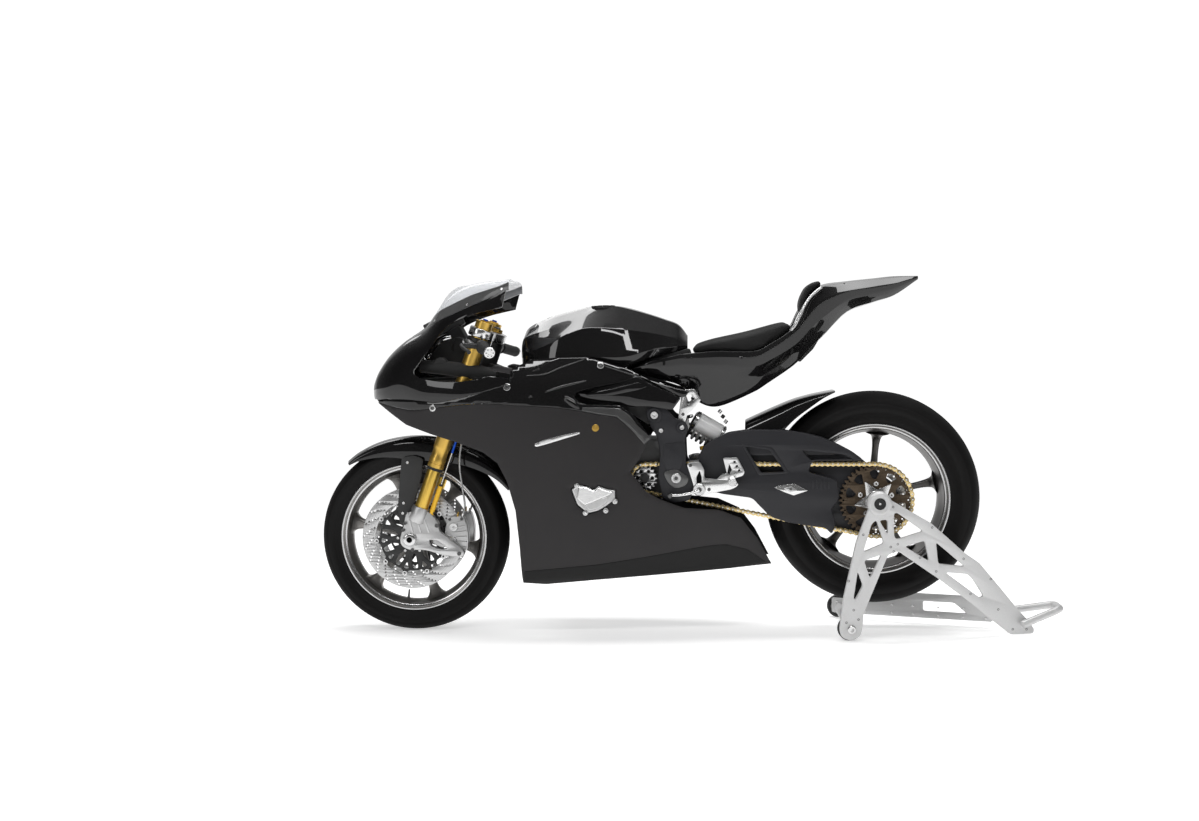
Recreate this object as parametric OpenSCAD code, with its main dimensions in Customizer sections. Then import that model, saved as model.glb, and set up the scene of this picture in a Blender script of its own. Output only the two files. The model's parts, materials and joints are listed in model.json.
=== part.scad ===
// Track-day sport motorcycle on a single-sided paddock stand.
// X runs from the front wheel to the rear, -Y is the left side and +Z is up. Heights start at the
// floor. The drawing is laid out from the front axle and then moved so that the origin is under the
// middle of the whole object. The bike stands nose down, because the stand lifts its rear wheel.

/* [Wheels] */
// Distance between the two axles
wheelbase = 1446; // [1400:1:1500]
// Height of the rear axle on the stand
rear_axle_z = 422; // [410:1:430]
// Radius of the front tyre
front_tyre_r = 300; // [296:1:304]
// Width of the front tyre
front_tyre_w = 120; // [110:1:124]
// Radius of the rear tyre
rear_tyre_r = 332; // [326:1:336]
// Width of the rear tyre
rear_tyre_w = 200; // [180:1:204]
// Radius of both rims at the flange
rim_r = 232; // [228:1:234]
// Width of the front rim over its flanges
front_rim_w = 101; // [96:1:104]
// Width of the rear rim over its flanges
rear_rim_w = 164; // [150:1:168]
// Radius of the front brake discs
front_disc_r = 160; // [150:1:165]
// Radius of the rear brake disc
rear_disc_r = 105; // [100:1:112]

/* [Front end] */
// Lean of the fork from upright, as parked
fork_lean = 19.7; // [19:0.1:21]
// Half the distance between the fork legs
fork_y = 105; // [102:1:108]
// Distance from the fork legs back to the steering stem
fork_offset = 30; // [26:1:34]
// Radius of the upper fork tubes
fork_outer_r = 27; // [25:0.5:28]
// Radius of the lower fork tubes
fork_inner_r = 21.5; // [19:0.5:22]
// Length from the axle to the top of the fork
fork_top = 721; // [700:1:730]
// Thickness of the two fork clamps
clamp_t = 28; // [24:1:32]
// Radius of the steering stem
stem_r = 15; // [12:0.5:16]
// Radius of the front axle
axle_r = 12.5; // [10:0.5:14]
// Radius of the hole through the front axle
axle_hole_r = 9; // [7:0.5:9.5]
// Radius of the handlebar tubes
bar_r = 11; // [10:0.5:12]
// Radius of the grips
grip_r = 17; // [15:0.5:18]
// Half the width over the bar ends
bar_end_y = 330; // [320:1:345]

/* [Drive] */
// Distance of the chain line from the middle
chain_y = 125; // [124:0.5:127]
// Pitch radius of the front sprocket
front_sprocket_r = 43; // [41:1:45]
// Pitch radius of the rear sprocket
rear_sprocket_r = 111; // [108:1:114]
// Height of the chain's side plates
chain_h = 15; // [13:1:16]
// Width of the chain over its pins
chain_w = 20; // [18:1:20]
// Radius of the hub shaft of the rear wheel
hub_shaft_r = 30; // [26:1:32]

/* [Bodywork] */
// Thickness of the fairing panels
skin = 4; // [3:0.5:6]
// Gap between neighbouring panels
panel_gap = 0.3; // [0.2:0.1:0.6]
// Share by which the side fairings are wider or narrower
side_scale = 1; // [0.97:0.01:1.05]
// Thickness of the seat pad at its rear
pad_t = 15; // [12:1:20]
// Thickness of the pivot plates
pivot_plate_t = 25; // [20:1:30]

/* [Stand] */
// Radius of the stand's rollers
roller_r = 37; // [34:1:40]
// Width of the stand's rollers
roller_w = 24; // [20:1:28]
// Thickness of the stand's plates
stand_t = 10; // [8:1:12]
// Radius of the stand's spindle
spindle_r = 16; // [14:0.5:18]
// Radius of the tube of the stand's handle
handle_r = 12; // [10:1:13]

/* [Hidden] */
$fn = 64;
fit = 0.3;                          // running clearance at shafts and bores
handle_rear_x = wheelbase + 584;    // rearmost point of the stand
mid_x = (handle_rear_x - front_tyre_r) / 2;
plate_in = 160;                     // inner face of the pivot plates
plate_out = plate_in + pivot_plate_t;
pivot = [825, 500];                 // swingarm pivot, X and Z
front_sprocket_at = [738, 492];
engine_side = 105;
tank_seat_z = 807.6;                // top of the tank's rubber seats
engine_front = 470;
rear_mount = [785, 600];            // bolt from the engine to the pivot plates
shock_top = [855, 651];
shock_low = [1000, 566];
tail_bolt = [892, 748];
peg = [1006, 494];
head_low = 500;                     // steering head, measured up the fork from the axle
head_high = 667;
lower_clamp_s = 470;
upper_clamp_s = 670;
bar_clamp_s = 640;
fork_split = 240;                   // where the upper tubes begin
foot_in = 88;                       // inner face of the axle lugs
foot_out = 122;
disc_y = 70;
disc_t = 5;
hub_in = 70;                        // inner face of the swingarm's hub
hub_out = 112;
arm_wall = 20;                      // outer wall of the swingarm
arm_wall_in = chain_y + chain_w / 2 + 3;

// ---- helpers ----------------------------------------------------------------------------------
module place() translate([-mid_x, 0, 0]) children();
module both() {
    children();
    mirror([0, 1, 0]) children();
}
// An outline drawn in X and Z, solid from y0 to y1
module side_plate(y0, y1) translate([0, y1, 0]) rotate([90, 0, 0]) linear_extrude(y1 - y0) children();
// A round bar along Y at [x, z]
module cross_bar(at, y0, y1, r)
    translate([at[0], y1, at[1]]) rotate([90, 0, 0]) cylinder(r = r, h = y1 - y0);
// A round bar between two points
module bar(p, q, r) {
    d = q - p;
    translate(p) rotate([0, acos(d.z / norm(d)), atan2(d.y, d.x)]) cylinder(r = r, h = norm(d));
}
// Origin at the front axle, Z up along the fork
module on_fork() translate([0, 0, front_tyre_r]) rotate([0, fork_lean, 0]) children();
// Origin at a wheel's centre, Z along the axle towards the left side
module on_front_axle() translate([0, 0, front_tyre_r]) rotate([90, 0, 0]) children();
module on_rear_axle() translate([wheelbase, 0, rear_axle_z]) rotate([90, 0, 0]) children();
module ring(r0, r1, h0, h1) translate([0, 0, h0]) difference() {
    cylinder(r = r1, h = h1 - h0, $fn = 96);
    translate([0, 0, -1]) cylinder(r = r0, h = h1 - h0 + 2, $fn = 96);
}

// Point at t between b and c on a smooth curve through a, b, c and d
function curve_point(a, b, c, d, t) =
    0.5 * (2 * b + (c - a) * t + (2 * a - 5 * b + 4 * c - d) * t * t
    + (3 * b - a - 3 * c + d) * t * t * t);
// k points for each span of a smooth curve through the points p
function smooth(p, k) = let(n = len(p) - 1) [
    for (i = [0 : n - 1]) for (s = [0 : k - 1])
        curve_point(p[max(i - 1, 0)], p[i], p[i + 1], p[min(i + 2, n)], s / k),
    p[n]];
function column(net, j) = [for (row = net) row[j]];
// A net of control points refined in both directions
function smooth_net(net, k) =
    let(rows = [for (row = net) smooth(row, k)],
        cols = [for (j = [0 : len(rows[0]) - 1]) smooth(column(rows, j), k)])
    [for (i = [0 : len(cols[0]) - 1]) column(cols, i)];
function flatten(net) = [for (row = net) for (p = row) p];
// Faces of a wall between two nets of n rows of m points
function wall_faces(n, m) =
    let(s = n * m, a = function (i, j) i * m + j)
    concat(
        [for (i = [0 : n - 2]) for (j = [0 : m - 2]) each [
            [a(i, j), a(i, j + 1), a(i + 1, j)], [a(i, j + 1), a(i + 1, j + 1), a(i + 1, j)],
            [s + a(i, j), s + a(i + 1, j), s + a(i, j + 1)],
            [s + a(i, j + 1), s + a(i + 1, j), s + a(i + 1, j + 1)]]],
        [for (i = [0 : n - 2]) each [
            [a(i, 0), a(i + 1, 0), s + a(i, 0)], [a(i + 1, 0), s + a(i + 1, 0), s + a(i, 0)],
            [a(i, m - 1), s + a(i, m - 1), a(i + 1, m - 1)],
            [a(i + 1, m - 1), s + a(i, m - 1), s + a(i + 1, m - 1)]]],
        [for (j = [0 : m - 2]) each [
            [a(0, j), s + a(0, j), a(0, j + 1)], [a(0, j + 1), s + a(0, j), s + a(0, j + 1)],
            [a(n - 1, j), a(n - 1, j + 1), s + a(n - 1, j)],
            [a(n - 1, j + 1), s + a(n - 1, j + 1), s + a(n - 1, j)]]]);
module shell(outer, inner)
    polyhedron(concat(flatten(outer), flatten(inner)), wall_faces(len(outer), len(outer[0])));
// A solid through closed rings of the same number of points, with flat ends
module loft(rings) {
    n = len(rings);
    m = len(rings[0]);
    sides = [for (i = [0 : n - 2]) for (j = [0 : m - 1]) let(k = (j + 1) % m) each [
        [i * m + j, (i + 1) * m + j, i * m + k], [i * m + k, (i + 1) * m + j, (i + 1) * m + k]]];
    first = [for (j = [0 : m - 1]) j];
    last = [for (j = [m - 1 : -1 : 0]) (n - 1) * m + j];
    polyhedron(flatten(rings), concat(sides, [first], [last]));
}
// A ring in the plane x from the left half's [half width, z] points, listed from the bottom up
function ring_at(x, half) = concat(
    [for (p = half) [x, -p[0], p[1]]],
    [for (i = [len(half) - 1 : -1 : 0]) if (half[i][0] > 0) [x, half[i][0], half[i][1]]]);

// A round pipe of radius r along a smooth curve through the points p
module pipe(p, r, k, sides = 12) {
    q = smooth(p, k);
    n = len(q) - 1;
    loft([for (i = [0 : n])
        let(t = q[min(i + 1, n)] - q[max(i - 1, 0)], d = t / norm(t),
            a = cross(d, abs(d.y) > 0.8 ? [1, 0, 0] : [0, 1, 0]), u = a / norm(a), v = cross(d, u))
        [for (j = [0 : sides - 1]) q[i] + r * (u * cos(j * 360 / sides) - v * sin(j * 360 / sides))]]);
}

// ---- bodywork surfaces ------------------------------------------------------------------------
// Side fairing stations: X, bottom [half width, z], crease [half width, z], then the half widths
// at the heights in side_heights
side_heights = [400, 560, 654, 730, 800, 880];
side_stations = [
    [-130, [20, 160], [30, 200], [30, 36, 42, 48, 50, 46]],
    [-50, [70, 165], [90, 205], [104, 112, 120, 126, 124, 112]],
    [50, [110, 165], [140, 205], [165, 175, 180, 182, 180, 168]],
    [190, [140, 166], [180, 208], [205, 216, 220, 220, 216, 200]],
    [350, [152, 167], [200, 211], [226, 237, 240, 238, 228, 200]],
    [595, [158, 182], [212, 240], [236, 244, 243, 234, 216, 194]],
    [800, [150, 199], [198, 280], [220, 226, 222, 210, 186, 172]],
    [960, [130, 211], [168, 292], [188, 192, 188, 178, 160, 146]],
    [1140, [96, 224], [112, 242], [124, 130, 130, 124, 112, 104]]];
function side_row(s, inset) = concat(
    [[s[0], -(s[1][0] * side_scale - inset), s[1][1] - 12]],
    [[s[0], -(s[2][0] * side_scale - inset), s[2][1]]],
    [for (i = [0 : len(side_heights) - 1])
        [s[0], -(s[3][i] * side_scale - inset), side_heights[i]]]);
function side_net(inset) = smooth_net([for (s = side_stations) side_row(s, inset)], 3);
// Half width at station i and height index j
function side_half(i, j) = side_stations[i][3][j] * side_scale;

// Nose and windshield stations: X, then [half width, z] from the lower edge up to the middle
nose_stations = [
    [-130, [[8, 745], [12, 752], [13, 758], [14, 764], [13, 769], [11, 773], [8, 776], [4, 778], [0, 778]]],
    [-122, [[34, 734], [42, 744], [46, 756], [47, 768], [44, 778], [38, 787], [28, 793], [14, 796],
        [0, 797]]],
    [-104, [[62, 722], [74, 738], [82, 756], [84, 774], [80, 792], [70, 810], [52, 824], [27, 832],
        [0, 834]]],
    [-70, [[90, 706], [106, 728], [117, 754], [120, 780], [115, 806], [102, 834], [78, 860], [42, 876],
        [0, 880]]],
    [-20, [[120, 694], [136, 722], [148, 756], [152, 790], [146, 824], [130, 860], [100, 894],
        [56, 918], [0, 925]]],
    [50, [[152, 680], [168, 712], [180, 740], [182, 775], [178, 812], [166, 856], [138, 910], [80, 958],
        [0, 977]]],
    [120, [[174, 676], [192, 708], [203, 738], [204, 775], [198, 815], [186, 868], [162, 950],
        [104, 1040], [0, 1078]]],
    [200, [[188, 690], [208, 716], [219, 744], [219, 778], [212, 820], [198, 880], [176, 990],
        [124, 1086], [0, 1101]]],
    [328, [[202, 720], [224, 744], [230, 768], [229, 792], [220, 830], [200, 900], [176, 1016],
        [166, 1104], [0, 1109]]]];
// Drawn in by the inset: narrower everywhere, lower towards the middle and shorter at the tip
function nose_row(s, inset) = let(n = len(s[1]) - 1) [for (j = [0 : n]) let(p = s[1][j]) [
    s[0] + inset * (s[0] < 0 ? 1 : 0), -max(p[0] - inset * (1 - pow(j / n, 4)), 0),
    p[1] - inset * pow(max(j - 3, 0) / (n - 3), 1)]];
function whole_nose(inset) =
    let(half = smooth_net([for (s = nose_stations) nose_row(s, inset)], 2))
    [for (row = half) concat(row, [for (i = [len(row) - 2 : -1 : 0]) [row[i].x, -row[i].y, row[i].z]])];

// Edges seen from the side, in X and Z
seam = [[-66, 742], [48, 736], [115, 734], [230, 758], [334, 790]];
cockpit_low = [[30, 820], [60, 804], [144, 795], [223, 801], [270, 812], [334, 806]];
cockpit_high = [[306, 1022], [206, 999], [126, 961], [82, 903], [30, 830]];
shield_edge = [[319, 1073], [210, 1028], [109, 986], [17, 946], [4, 934]];
nose_outline = concat(seam, [for (i = [5 : -1 : 0]) cockpit_low[i]],
    [for (i = [4 : -1 : 0]) cockpit_high[i]], shield_edge,
    [[-60, 960], [-160, 860], [-160, 735], [-110, 735]]);
shield_outline = concat([for (p = shield_edge) p + [0, panel_gap]],
    [[4, 960], [100, 1200], [330, 1200], [330, 1073]]);
side_outline = concat(
    [for (p = seam) p - [0, panel_gap]],
    [[336, 836], [400, 864], [566, 870], [612, 858], [700, 830], [729, 812], [674, 792], [540, 764],
     [530, 750], [548, 724], [667, 722], [712, 690], [757, 627], [727, 559], [699, 520], [745, 460], [788, 435], [859, 408], [966, 399], [1034, 371],
     [1085, 305], [1130, 223], [1000, 212], [846, 201], [593, 182], [432, 167], [363, 173],
     [357, 290], [347, 401], [323, 490], [294, 547], [250, 580], [168, 610], [88, 633], [0, 662],
     [-60, 700], [-100, 728]]);

// ---- frame and engine -------------------------------------------------------------------------
spar_splay = 11.5;
module main_frame() color("#232427") place() difference() {
    union() {
        on_fork() translate([fork_offset, 0, head_low])
            cylinder(r = stem_r + 20, h = head_high - head_low);
        difference() {
            union() {
                both() {
                    // Spar from the steering head, splayed towards the pivot plate
                    translate([235, -30, 0]) rotate([0, 0, -spar_splay]) side_plate(-28, 0)
                        polygon([[0, 780], [20, 850], [120, 808], [300, 790], [480, 786],
                            [512, 740], [480, 700], [300, 708], [120, 726], [30, 745]]);
                    // End of the spar, flat against the pivot plate
                    side_plate(-plate_in, -124) polygon([[700, 786], [740, 790], [805, 720],
                        [800, 670], [750, 660], [690, 700]]);
                    // Rubber seats of the tank
                    translate([450, -88, 780]) cylinder(r = 12, h = tank_seat_z - 780);
                    translate([640, -128, 775]) cylinder(r = 12, h = tank_seat_z - 775);
                }
                // Gusset behind the steering head
                side_plate(-56, 56) polygon([[225, 770], [252, 850], [330, 812], [400, 760],
                    [300, 742]]);
            }
            // Nothing but the head itself lies ahead of the stem
            on_fork() translate([fork_offset - 200, -200, head_low - 100]) cube([200, 400, 400]);
        }
        // Duct from the steering head to the nose
        both() bar([-78, -62, 790], [236, -24, 806], 9);
    }
    on_fork() translate([fork_offset, 0, head_low - 60]) cylinder(r = stem_r + fit, h = 300);
}

module pivot_plates() color("#2b2c30") place() {
    both() difference() {
        side_plate(-plate_out, -plate_in)
            polygon([[745, 702], [760, 718], [801, 714], [833, 675], [868, 663], [864, 616],
                [867, 535], [894, 507], [880, 426], [828, 420], [793, 438], [782, 508], [790, 570],
                [779, 624], [758, 656]]);
        cross_bar(pivot, -plate_out - 1, -plate_in + 1, 12);
    }
    cross_bar(shock_top, -plate_in, plate_in, 10);
}

module engine_block() color("#5d5e60") place() {
    difference() {
        union() {
            side_plate(-engine_side, 120) polygon([[engine_front, 520], [440, 686], [600, 694], [640, 610],
                [790, 610], [790, 420], [740, 300], [560, 290], [engine_front, 340]]);
            // Clutch case behind the window in the left fairing
            cross_bar([590, 436], -228, -engine_side, 66);
            cross_bar([610, 420], 120, 190, 80);
            // Rear mount, from pivot plate to pivot plate
            cross_bar(rear_mount, -plate_in, plate_in, 14);
            // Output shaft
            cross_bar(front_sprocket_at, -chain_y - 10, -engine_side, 12);
            // Standoffs that the side fairings are screwed to
            both() cross_bar([595, 654], -(side_half(5, 2) - skin - 3 * panel_gap), -100, 8);
        }
        // Notch round the swingarm pivot
        cross_bar(pivot, -130, 130, 46);
    }
}

module radiator() color("#3a3b3d") place() {
    translate([405, 0, 535]) rotate([0, -10, 0]) translate([-16, -150, -90]) cube([32, 300, 180]);
    both() for (z = [476, 506])
        bar([402, -70, z], [engine_front, -70, z], 7);
}

module exhaust() color("#8a8580") place() pipe([[engine_front - 0.5, 0, 380], [455, 0, 380], [440, 0, 380],
    [424, 0, 340], [440, 0, 276], [520, 0, 240], [700, 6, 238], [860, 30, 246], [1010, 60, 268]], 28, 2);

// ---- bodywork ---------------------------------------------------------------------------------
module nose_solid() shell(whole_nose(0), whole_nose(skin));
module nose_fairing() color("#141416") place() intersection() {
    nose_solid();
    side_plate(-260, 260) polygon(nose_outline);
}
module windshield() color("#b9bcc0") place() intersection() {
    nose_solid();
    side_plate(-260, 260) polygon(shield_outline);
}
module side_panel() intersection() {
    shell(side_net(0), side_net(skin));
    side_plate(-300, 0) polygon(side_outline);
}
module side_fairing_left() color("#1d1d1f") place() difference() {
    side_panel();
    // Window over the clutch case
    side_plate(-300, -150) polygon([[514, 480], [560, 496], [664, 478], [672, 428], [582, 376],
        [530, 416]]);
}
module side_fairing_right() color("#1d1d1f") place() mirror([0, 1, 0]) side_panel();

// Floor between the side fairings, as wide as their inner faces
belly_line = [[366, 174], [432, 169], [593, 184], [846, 203], [1112, 223]];
function half_at(row, z) = lookup(z, [for (p = row) [p.z, -p.y]]);
module belly_pan() color("#202022") place() loft([
    for (row = side_net(skin + 2 * panel_gap)) if (row[0].x > 366 && row[0].x < 1112)
        let(x = row[0].x, z = lookup(x, belly_line), a = half_at(row, z), b = half_at(row, z + skin))
        [[x, -a, z], [x, -b, z + skin], [x, b, z + skin], [x, a, z]]]);

// Fuel tank stations: X, then [half width, z] from the flat bottom up to the crown
tank_stations = [
    [352, [[0, 850], [60, 850], [84, 880], [80, 920], [40, 930], [0, 930]]],
    [366, [[0, 826], [92, 826], [120, 872], [112, 925], [60, 962], [0, 968]]],
    [442, [[0, 812], [120, 812], [164, 868], [156, 925], [92, 980], [0, 994]]],
    [554, [[0, 812], [140, 812], [186, 868], [178, 935], [100, 1000], [0, 1023]]],
    [642, [[0, 812], [144, 812], [184, 864], [176, 930], [104, 1000], [0, 1027]]],
    [697, [[0, 830], [136, 830], [174, 862], [168, 924], [102, 992], [0, 1017]]],
    [753, [[0, 856], [124, 856], [158, 880], [152, 920], [94, 975], [0, 1000]]],
    [844, [[0, 879], [88, 879], [112, 894], [108, 912], [70, 950], [0, 968]]],
    [872, [[0, 886], [56, 886], [80, 892], [78, 902], [50, 922], [0, 930]]]];
function tank_half(s) = smooth(s[1], 3);
module fuel_tank() color("#111113") place()
    loft([for (s = tank_stations) ring_at(s[0], tank_half(s))]);

// Tail stations: X, then [half width, z] up the left side; the seat rests on the flat top
seat_line = [[878, 876], [970, 883], [1073, 882], [1122, 902], [1203, 958]];
tail_stations = [
    [700, [[0, 826], [126, 826], [150, 827], [154, 828], [152, 829], [0, 829]]],
    [753, [[0, 804], [122, 808], [146, 824], [150, 846], [146, 850], [0, 850]]],
    [844, [[0, 776], [110, 778], [130, 810], [134, 866], [126, 872], [0, 872]]],
    [878, [[0, 752], [88, 756], [118, 800], [126, 862], [116, 876], [0, 876]]],
    [912, [[0, 716], [84, 720], [114, 790], [126, 862], [116, 878.6], [0, 878.6]]],
    [970, [[0, 706], [80, 710], [112, 790], [132, 866], [124, 883], [0, 883]]],
    [1073, [[0, 748], [82, 752], [110, 806], [134, 868], [126, 882], [0, 882]]],
    [1122, [[0, 778], [82, 782], [108, 830], [130, 888], [122, 902], [0, 902]]],
    [1203, [[0, 834], [78, 838], [100, 880], [118, 940], [110, 958], [0, 958]]],
    [1252, [[0, 884], [70, 890], [92, 930], [108, 990], [86, 1048], [0, 1052]]],
    [1289, [[0, 918], [62, 924], [84, 965], [102, 1020], [74, 1078], [0, 1086]]],
    [1366, [[0, 996], [50, 1000], [70, 1022], [86, 1060], [60, 1090], [0, 1097]]],
    [1515, [[0, 1050], [26, 1052], [38, 1066], [46, 1086], [30, 1106], [0, 1111]]],
    [1590, [[0, 1100], [4, 1101], [6, 1104], [6, 1106], [4, 1110], [0, 1111]]]];
module tail_cowl() color("#19191b") place() difference() {
    loft([for (s = tail_stations) ring_at(s[0], s[1])]);
    cross_bar(tail_bolt, -200, 200, 8);
}
module tail_brackets() color("#c9ccd0") place() {
    difference() {
        both() side_plate(-plate_in, -150) polygon([[836, 650], [852, 766], [898, 768], [915, 732],
            [888, 706], [862, 650]]);
        cross_bar(shock_top, -plate_in - 1, plate_in + 1, 10);
    }
    cross_bar(tail_bolt, -152, 152, 8);
}
module seat_pad() color("#0e0e0f") place() side_plate(-104, 104) polygon(concat(
    [for (p = seat_line) p + [0, panel_gap]],
    [[1203, 958 + pad_t], [1159, 969], [1053, 940], [946, 916], [880, 897]]));
hump = [[1222, 994], [1252, 1052], [1289, 1086]];
module bum_stop() color("#0e0e0f") place() side_plate(-72, 72) polygon(concat(
    [for (p = hump) p + [-panel_gap, panel_gap]],
    [[1292, 1098], [1270, 1096], [1246, 1081], [1224, 1024]]));

// ---- rear suspension --------------------------------------------------------------------------
arm_outline = [[905, 455], [905, 560], [925, 597], [996, 633], [1054, 641], [1170, 640], [1273, 620],
    [1330, 594], [1405, 552], [1398, 546], [1250, 546], [1238, 512], [1326, 487], [1330, 428],
    [1306, 400], [1320, 352], [1310, 318], [1291, 352], [1130, 360], [1068, 432]];
module swingarm() color("#2a2b2e") place() difference() {
    union() {
        // Pivot tube between the plates and the front box
        cross_bar(pivot, -hub_out + 2, hub_out - 2, 28);
        cross_bar(pivot, -plate_out, plate_out, 12);
        side_plate(-104, 70) polygon([[825, 472], [825, 528], [930, 536], [1085, 540], [1092, 470],
            [1000, 440], [930, 450]]);
        // Plate beside the tyre, inboard of the chain
        side_plate(-hub_out, -104) polygon([[905, 455], [905, 560], [925, 597], [996, 633],
            [1054, 641], [1170, 640], [1273, 620], [1400, 552], [1500, 470], [1500, 370],
            [1400, 310], [1291, 352], [1130, 360], [1068, 432]]);
        // Outer wall and the ribs that carry it above and below the chain
        side_plate(-arm_wall_in - arm_wall, -arm_wall_in) polygon(arm_outline);
        side_plate(-arm_wall_in, -hub_out) polygon([[912, 560], [925, 597], [996, 633], [1054, 641],
            [1170, 640], [1273, 620], [1330, 594], [1320, 560]]);
        side_plate(-arm_wall_in, -hub_out) polygon([[912, 505], [912, 462], [1060, 446],
            [1230, 420], [1290, 430], [1232, 505]]);
        on_rear_axle() translate([0, 0, hub_in]) cylinder(r = 74, h = hub_out - hub_in);
        // Arm inside the rim, from the plate to the hub
        side_plate(-104, -hub_in) polygon([[1290, 470], [1400, 480], [1400, 360], [1290, 380]]);
        // Lugs of the shock
        both() side_plate(-32, -20) polygon([[975, 530], [982, 580], [1018, 580], [1030, 530]]);
        cross_bar(shock_low, -32, 32, 8);
    }
    on_rear_axle() translate([0, 0, hub_in - 1]) cylinder(r = hub_shaft_r + fit, h = 60);
    // Windows in the outer wall
    side_plate(-arm_wall_in - arm_wall - 1, -hub_out)
        polygon([[1046, 593], [1119, 583], [1181, 515], [1099, 505]]);
    side_plate(-arm_wall_in - arm_wall - 1, -hub_out)
        polygon([[1222, 580], [1345, 566], [1360, 556], [1240, 550]]);
}
module hugger() color("#121213") place() side_plate(-100, 70) polygon([[1040, 540], [1040, 672],
    [1180, 722], [1328, 758], [1296, 738], [1240, 702], [1178, 642], [1134, 590], [1092, 562],
    [1085, 540]]);
module rear_shock() color("#e6e6e4") place() difference() {
    union() {
        cross_bar(shock_top, -18, 18, 20);
        cross_bar(shock_low, -18, 18, 16);
        bar([870, 0, 642.2], [934, 0, 604.7], 14);
        bar([880, 0, 636.3], [958, 0, 590.6], 30);
        bar([940, 0, 601.2], [990, 0, 571.9], 12);
    }
    cross_bar(shock_top, -40, 40, 10);
    cross_bar(shock_low, -40, 40, 8);
}
module rear_caliper() color("#3b3c3f") place() difference() {
    side_plate(-hub_in, -44) polygon([[1310, 390], [1310, 470], [1372, 476], [1376, 384]]);
    on_rear_axle() translate([0, 0, 50]) cylinder(r = rear_disc_r + 5, h = 15);
}

// Closed outline of a belt round the two sprockets, at the given distance from their pitch circles
module belt(off) {
    c1 = front_sprocket_at;
    c2 = [wheelbase, rear_axle_z];
    r1 = front_sprocket_r + off;
    r2 = rear_sprocket_r + off;
    d = c2 - c1;
    a = atan2(d.y, d.x);
    b = acos((r1 - r2) / norm(d));
    translate(c1) circle(r = r1);
    translate(c2) circle(r = r2, $fn = 96);
    polygon([c1 + r1 * [cos(a + b), sin(a + b)], c2 + r2 * [cos(a + b), sin(a + b)],
        c2 + r2 * [cos(a - b), sin(a - b)], c1 + r1 * [cos(a - b), sin(a - b)]]);
}
module chain() color("#c9a75a") place() side_plate(-chain_y - chain_w / 2, -chain_y + chain_w / 2)
    difference() {
        belt(chain_h / 2);
        belt(-chain_h / 2);
    }
module front_sprocket() color("#4a4744") place() difference() {
    cross_bar(front_sprocket_at, -chain_y - 3, -chain_y + 3, front_sprocket_r - chain_h / 2 - 0.3);
    cross_bar(front_sprocket_at, -chain_y - 4, -chain_y + 4, 12);
}
module rearsets() color("#c4c7ca") place() both() {
    side_plate(-plate_out - 10, -plate_out) {
        polygon([[852, 546], [884, 542], [894, 510], [934, 500], [976, 508], [984, 554], [1032, 540],
            [1020, 500], [1006, 480], [924, 478], [905, 484], [898, 462], [868, 462], [858, 500]]);
        translate(peg) circle(r = 17);
    }
    cross_bar(peg, -plate_out - 88, -plate_out - 5, 11);
}

// ---- paddock stand ----------------------------------------------------------------------------
// The tall plate stands in its own upright plane, turned by stand_toe and leaning by stand_lean
stand_toe = 14;
stand_lean = 4.4;
stand_roller_x = wheelbase - 86;
roller_left_y = -183;
roller_right_y = 230;
roller_bore_r = 8;
beam_l = 520;
upright_origin = [stand_roller_x, -210, roller_r + 3];
module on_upright() translate(upright_origin) rotate([0, 0, stand_toe])
    rotate([90 + stand_lean, 0, 0]) children();
eye_uv = [82, 382];
handle_path = [[1880, -110, 30], [1996, -66, 70], [handle_rear_x - handle_r, -38, 76],
    [handle_rear_x - handle_r, 20, 76], [1990, 34, 72], [1815, 36, 46]];
module stand_upright() color("#dfe1e3") place() difference() {
    union() {
        difference() {
            on_upright() linear_extrude(stand_t) difference() {
                union() {
                    polygon([[52, 384], [110, 396], [245, 319], [355, 224], [404, 191], [480, 105],
                        [535, 41], [579, -4], [593, -30], [588, -50], [514, -50], [461, 4],
                        [354, 88], [278, 144], [142, 236], [111, 227], [37, 45], [34, 0],
                        [-32, 0], [-26, 97], [10, 270]]);
                    translate(eye_uv) circle(r = 30);
                    circle(r = 36);
                }
                polygon([[56, 322], [71, 334], [97, 262], [32, 237]]);
                polygon([[80, 332], [106, 334], [108, 288]]);
                polygon([[126, 352], [136, 354], [220, 295], [136, 272], [128, 282]]);
                polygon([[35, 211], [90, 227], [55, 155]]);
                polygon([[16, 179], [34, 135], [12, 92], [5, 95]]);
                polygon([[163, 250], [226, 266], [242, 202]]);
                polygon([[262, 260], [357, 182], [271, 193]]);
                polygon([[294, 166], [366, 158], [383, 144], [421, 88], [410, 82]]);
            }
            // The foot is cut level with the floor
            translate([1000, -600, -100]) cube([1200, 1200, 100]);
        }
        // Eye of the spindle
        translate([wheelbase, -243, rear_axle_z]) rotate([-90, 0, 0]) cylinder(r = 35, h = 42);
    }
    translate([wheelbase, -260, rear_axle_z]) rotate([-90, 0, 0]) cylinder(r = spindle_r, h = 100);
    translate([stand_roller_x, -260, roller_r]) rotate([-90, 0, 0]) cylinder(r = roller_bore_r, h = 100);
}
module on_base_beam() translate([stand_roller_x - 20, 214, 0]) rotate([0, 0, -20]) children();
module stand_base() color("#d5d7da") place() {
    // Low beam on the right, from its roller to the handle
    on_base_beam() side_plate(-stand_t, 0)
        polygon([[0, 20], [0, 68], [110, 64], [270, 98], [420, 98], [beam_l, 64], [beam_l, 20],
            [110, 19]]);
    // Shaft through both rollers, and the cross tube between them
    cross_bar([stand_roller_x, roller_r], roller_left_y - 39, roller_right_y + roller_w / 2 + 3,
        roller_bore_r);
    cross_bar([stand_roller_x, roller_r], roller_left_y + roller_w / 2 + 6, 205, 14);
}
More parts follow.
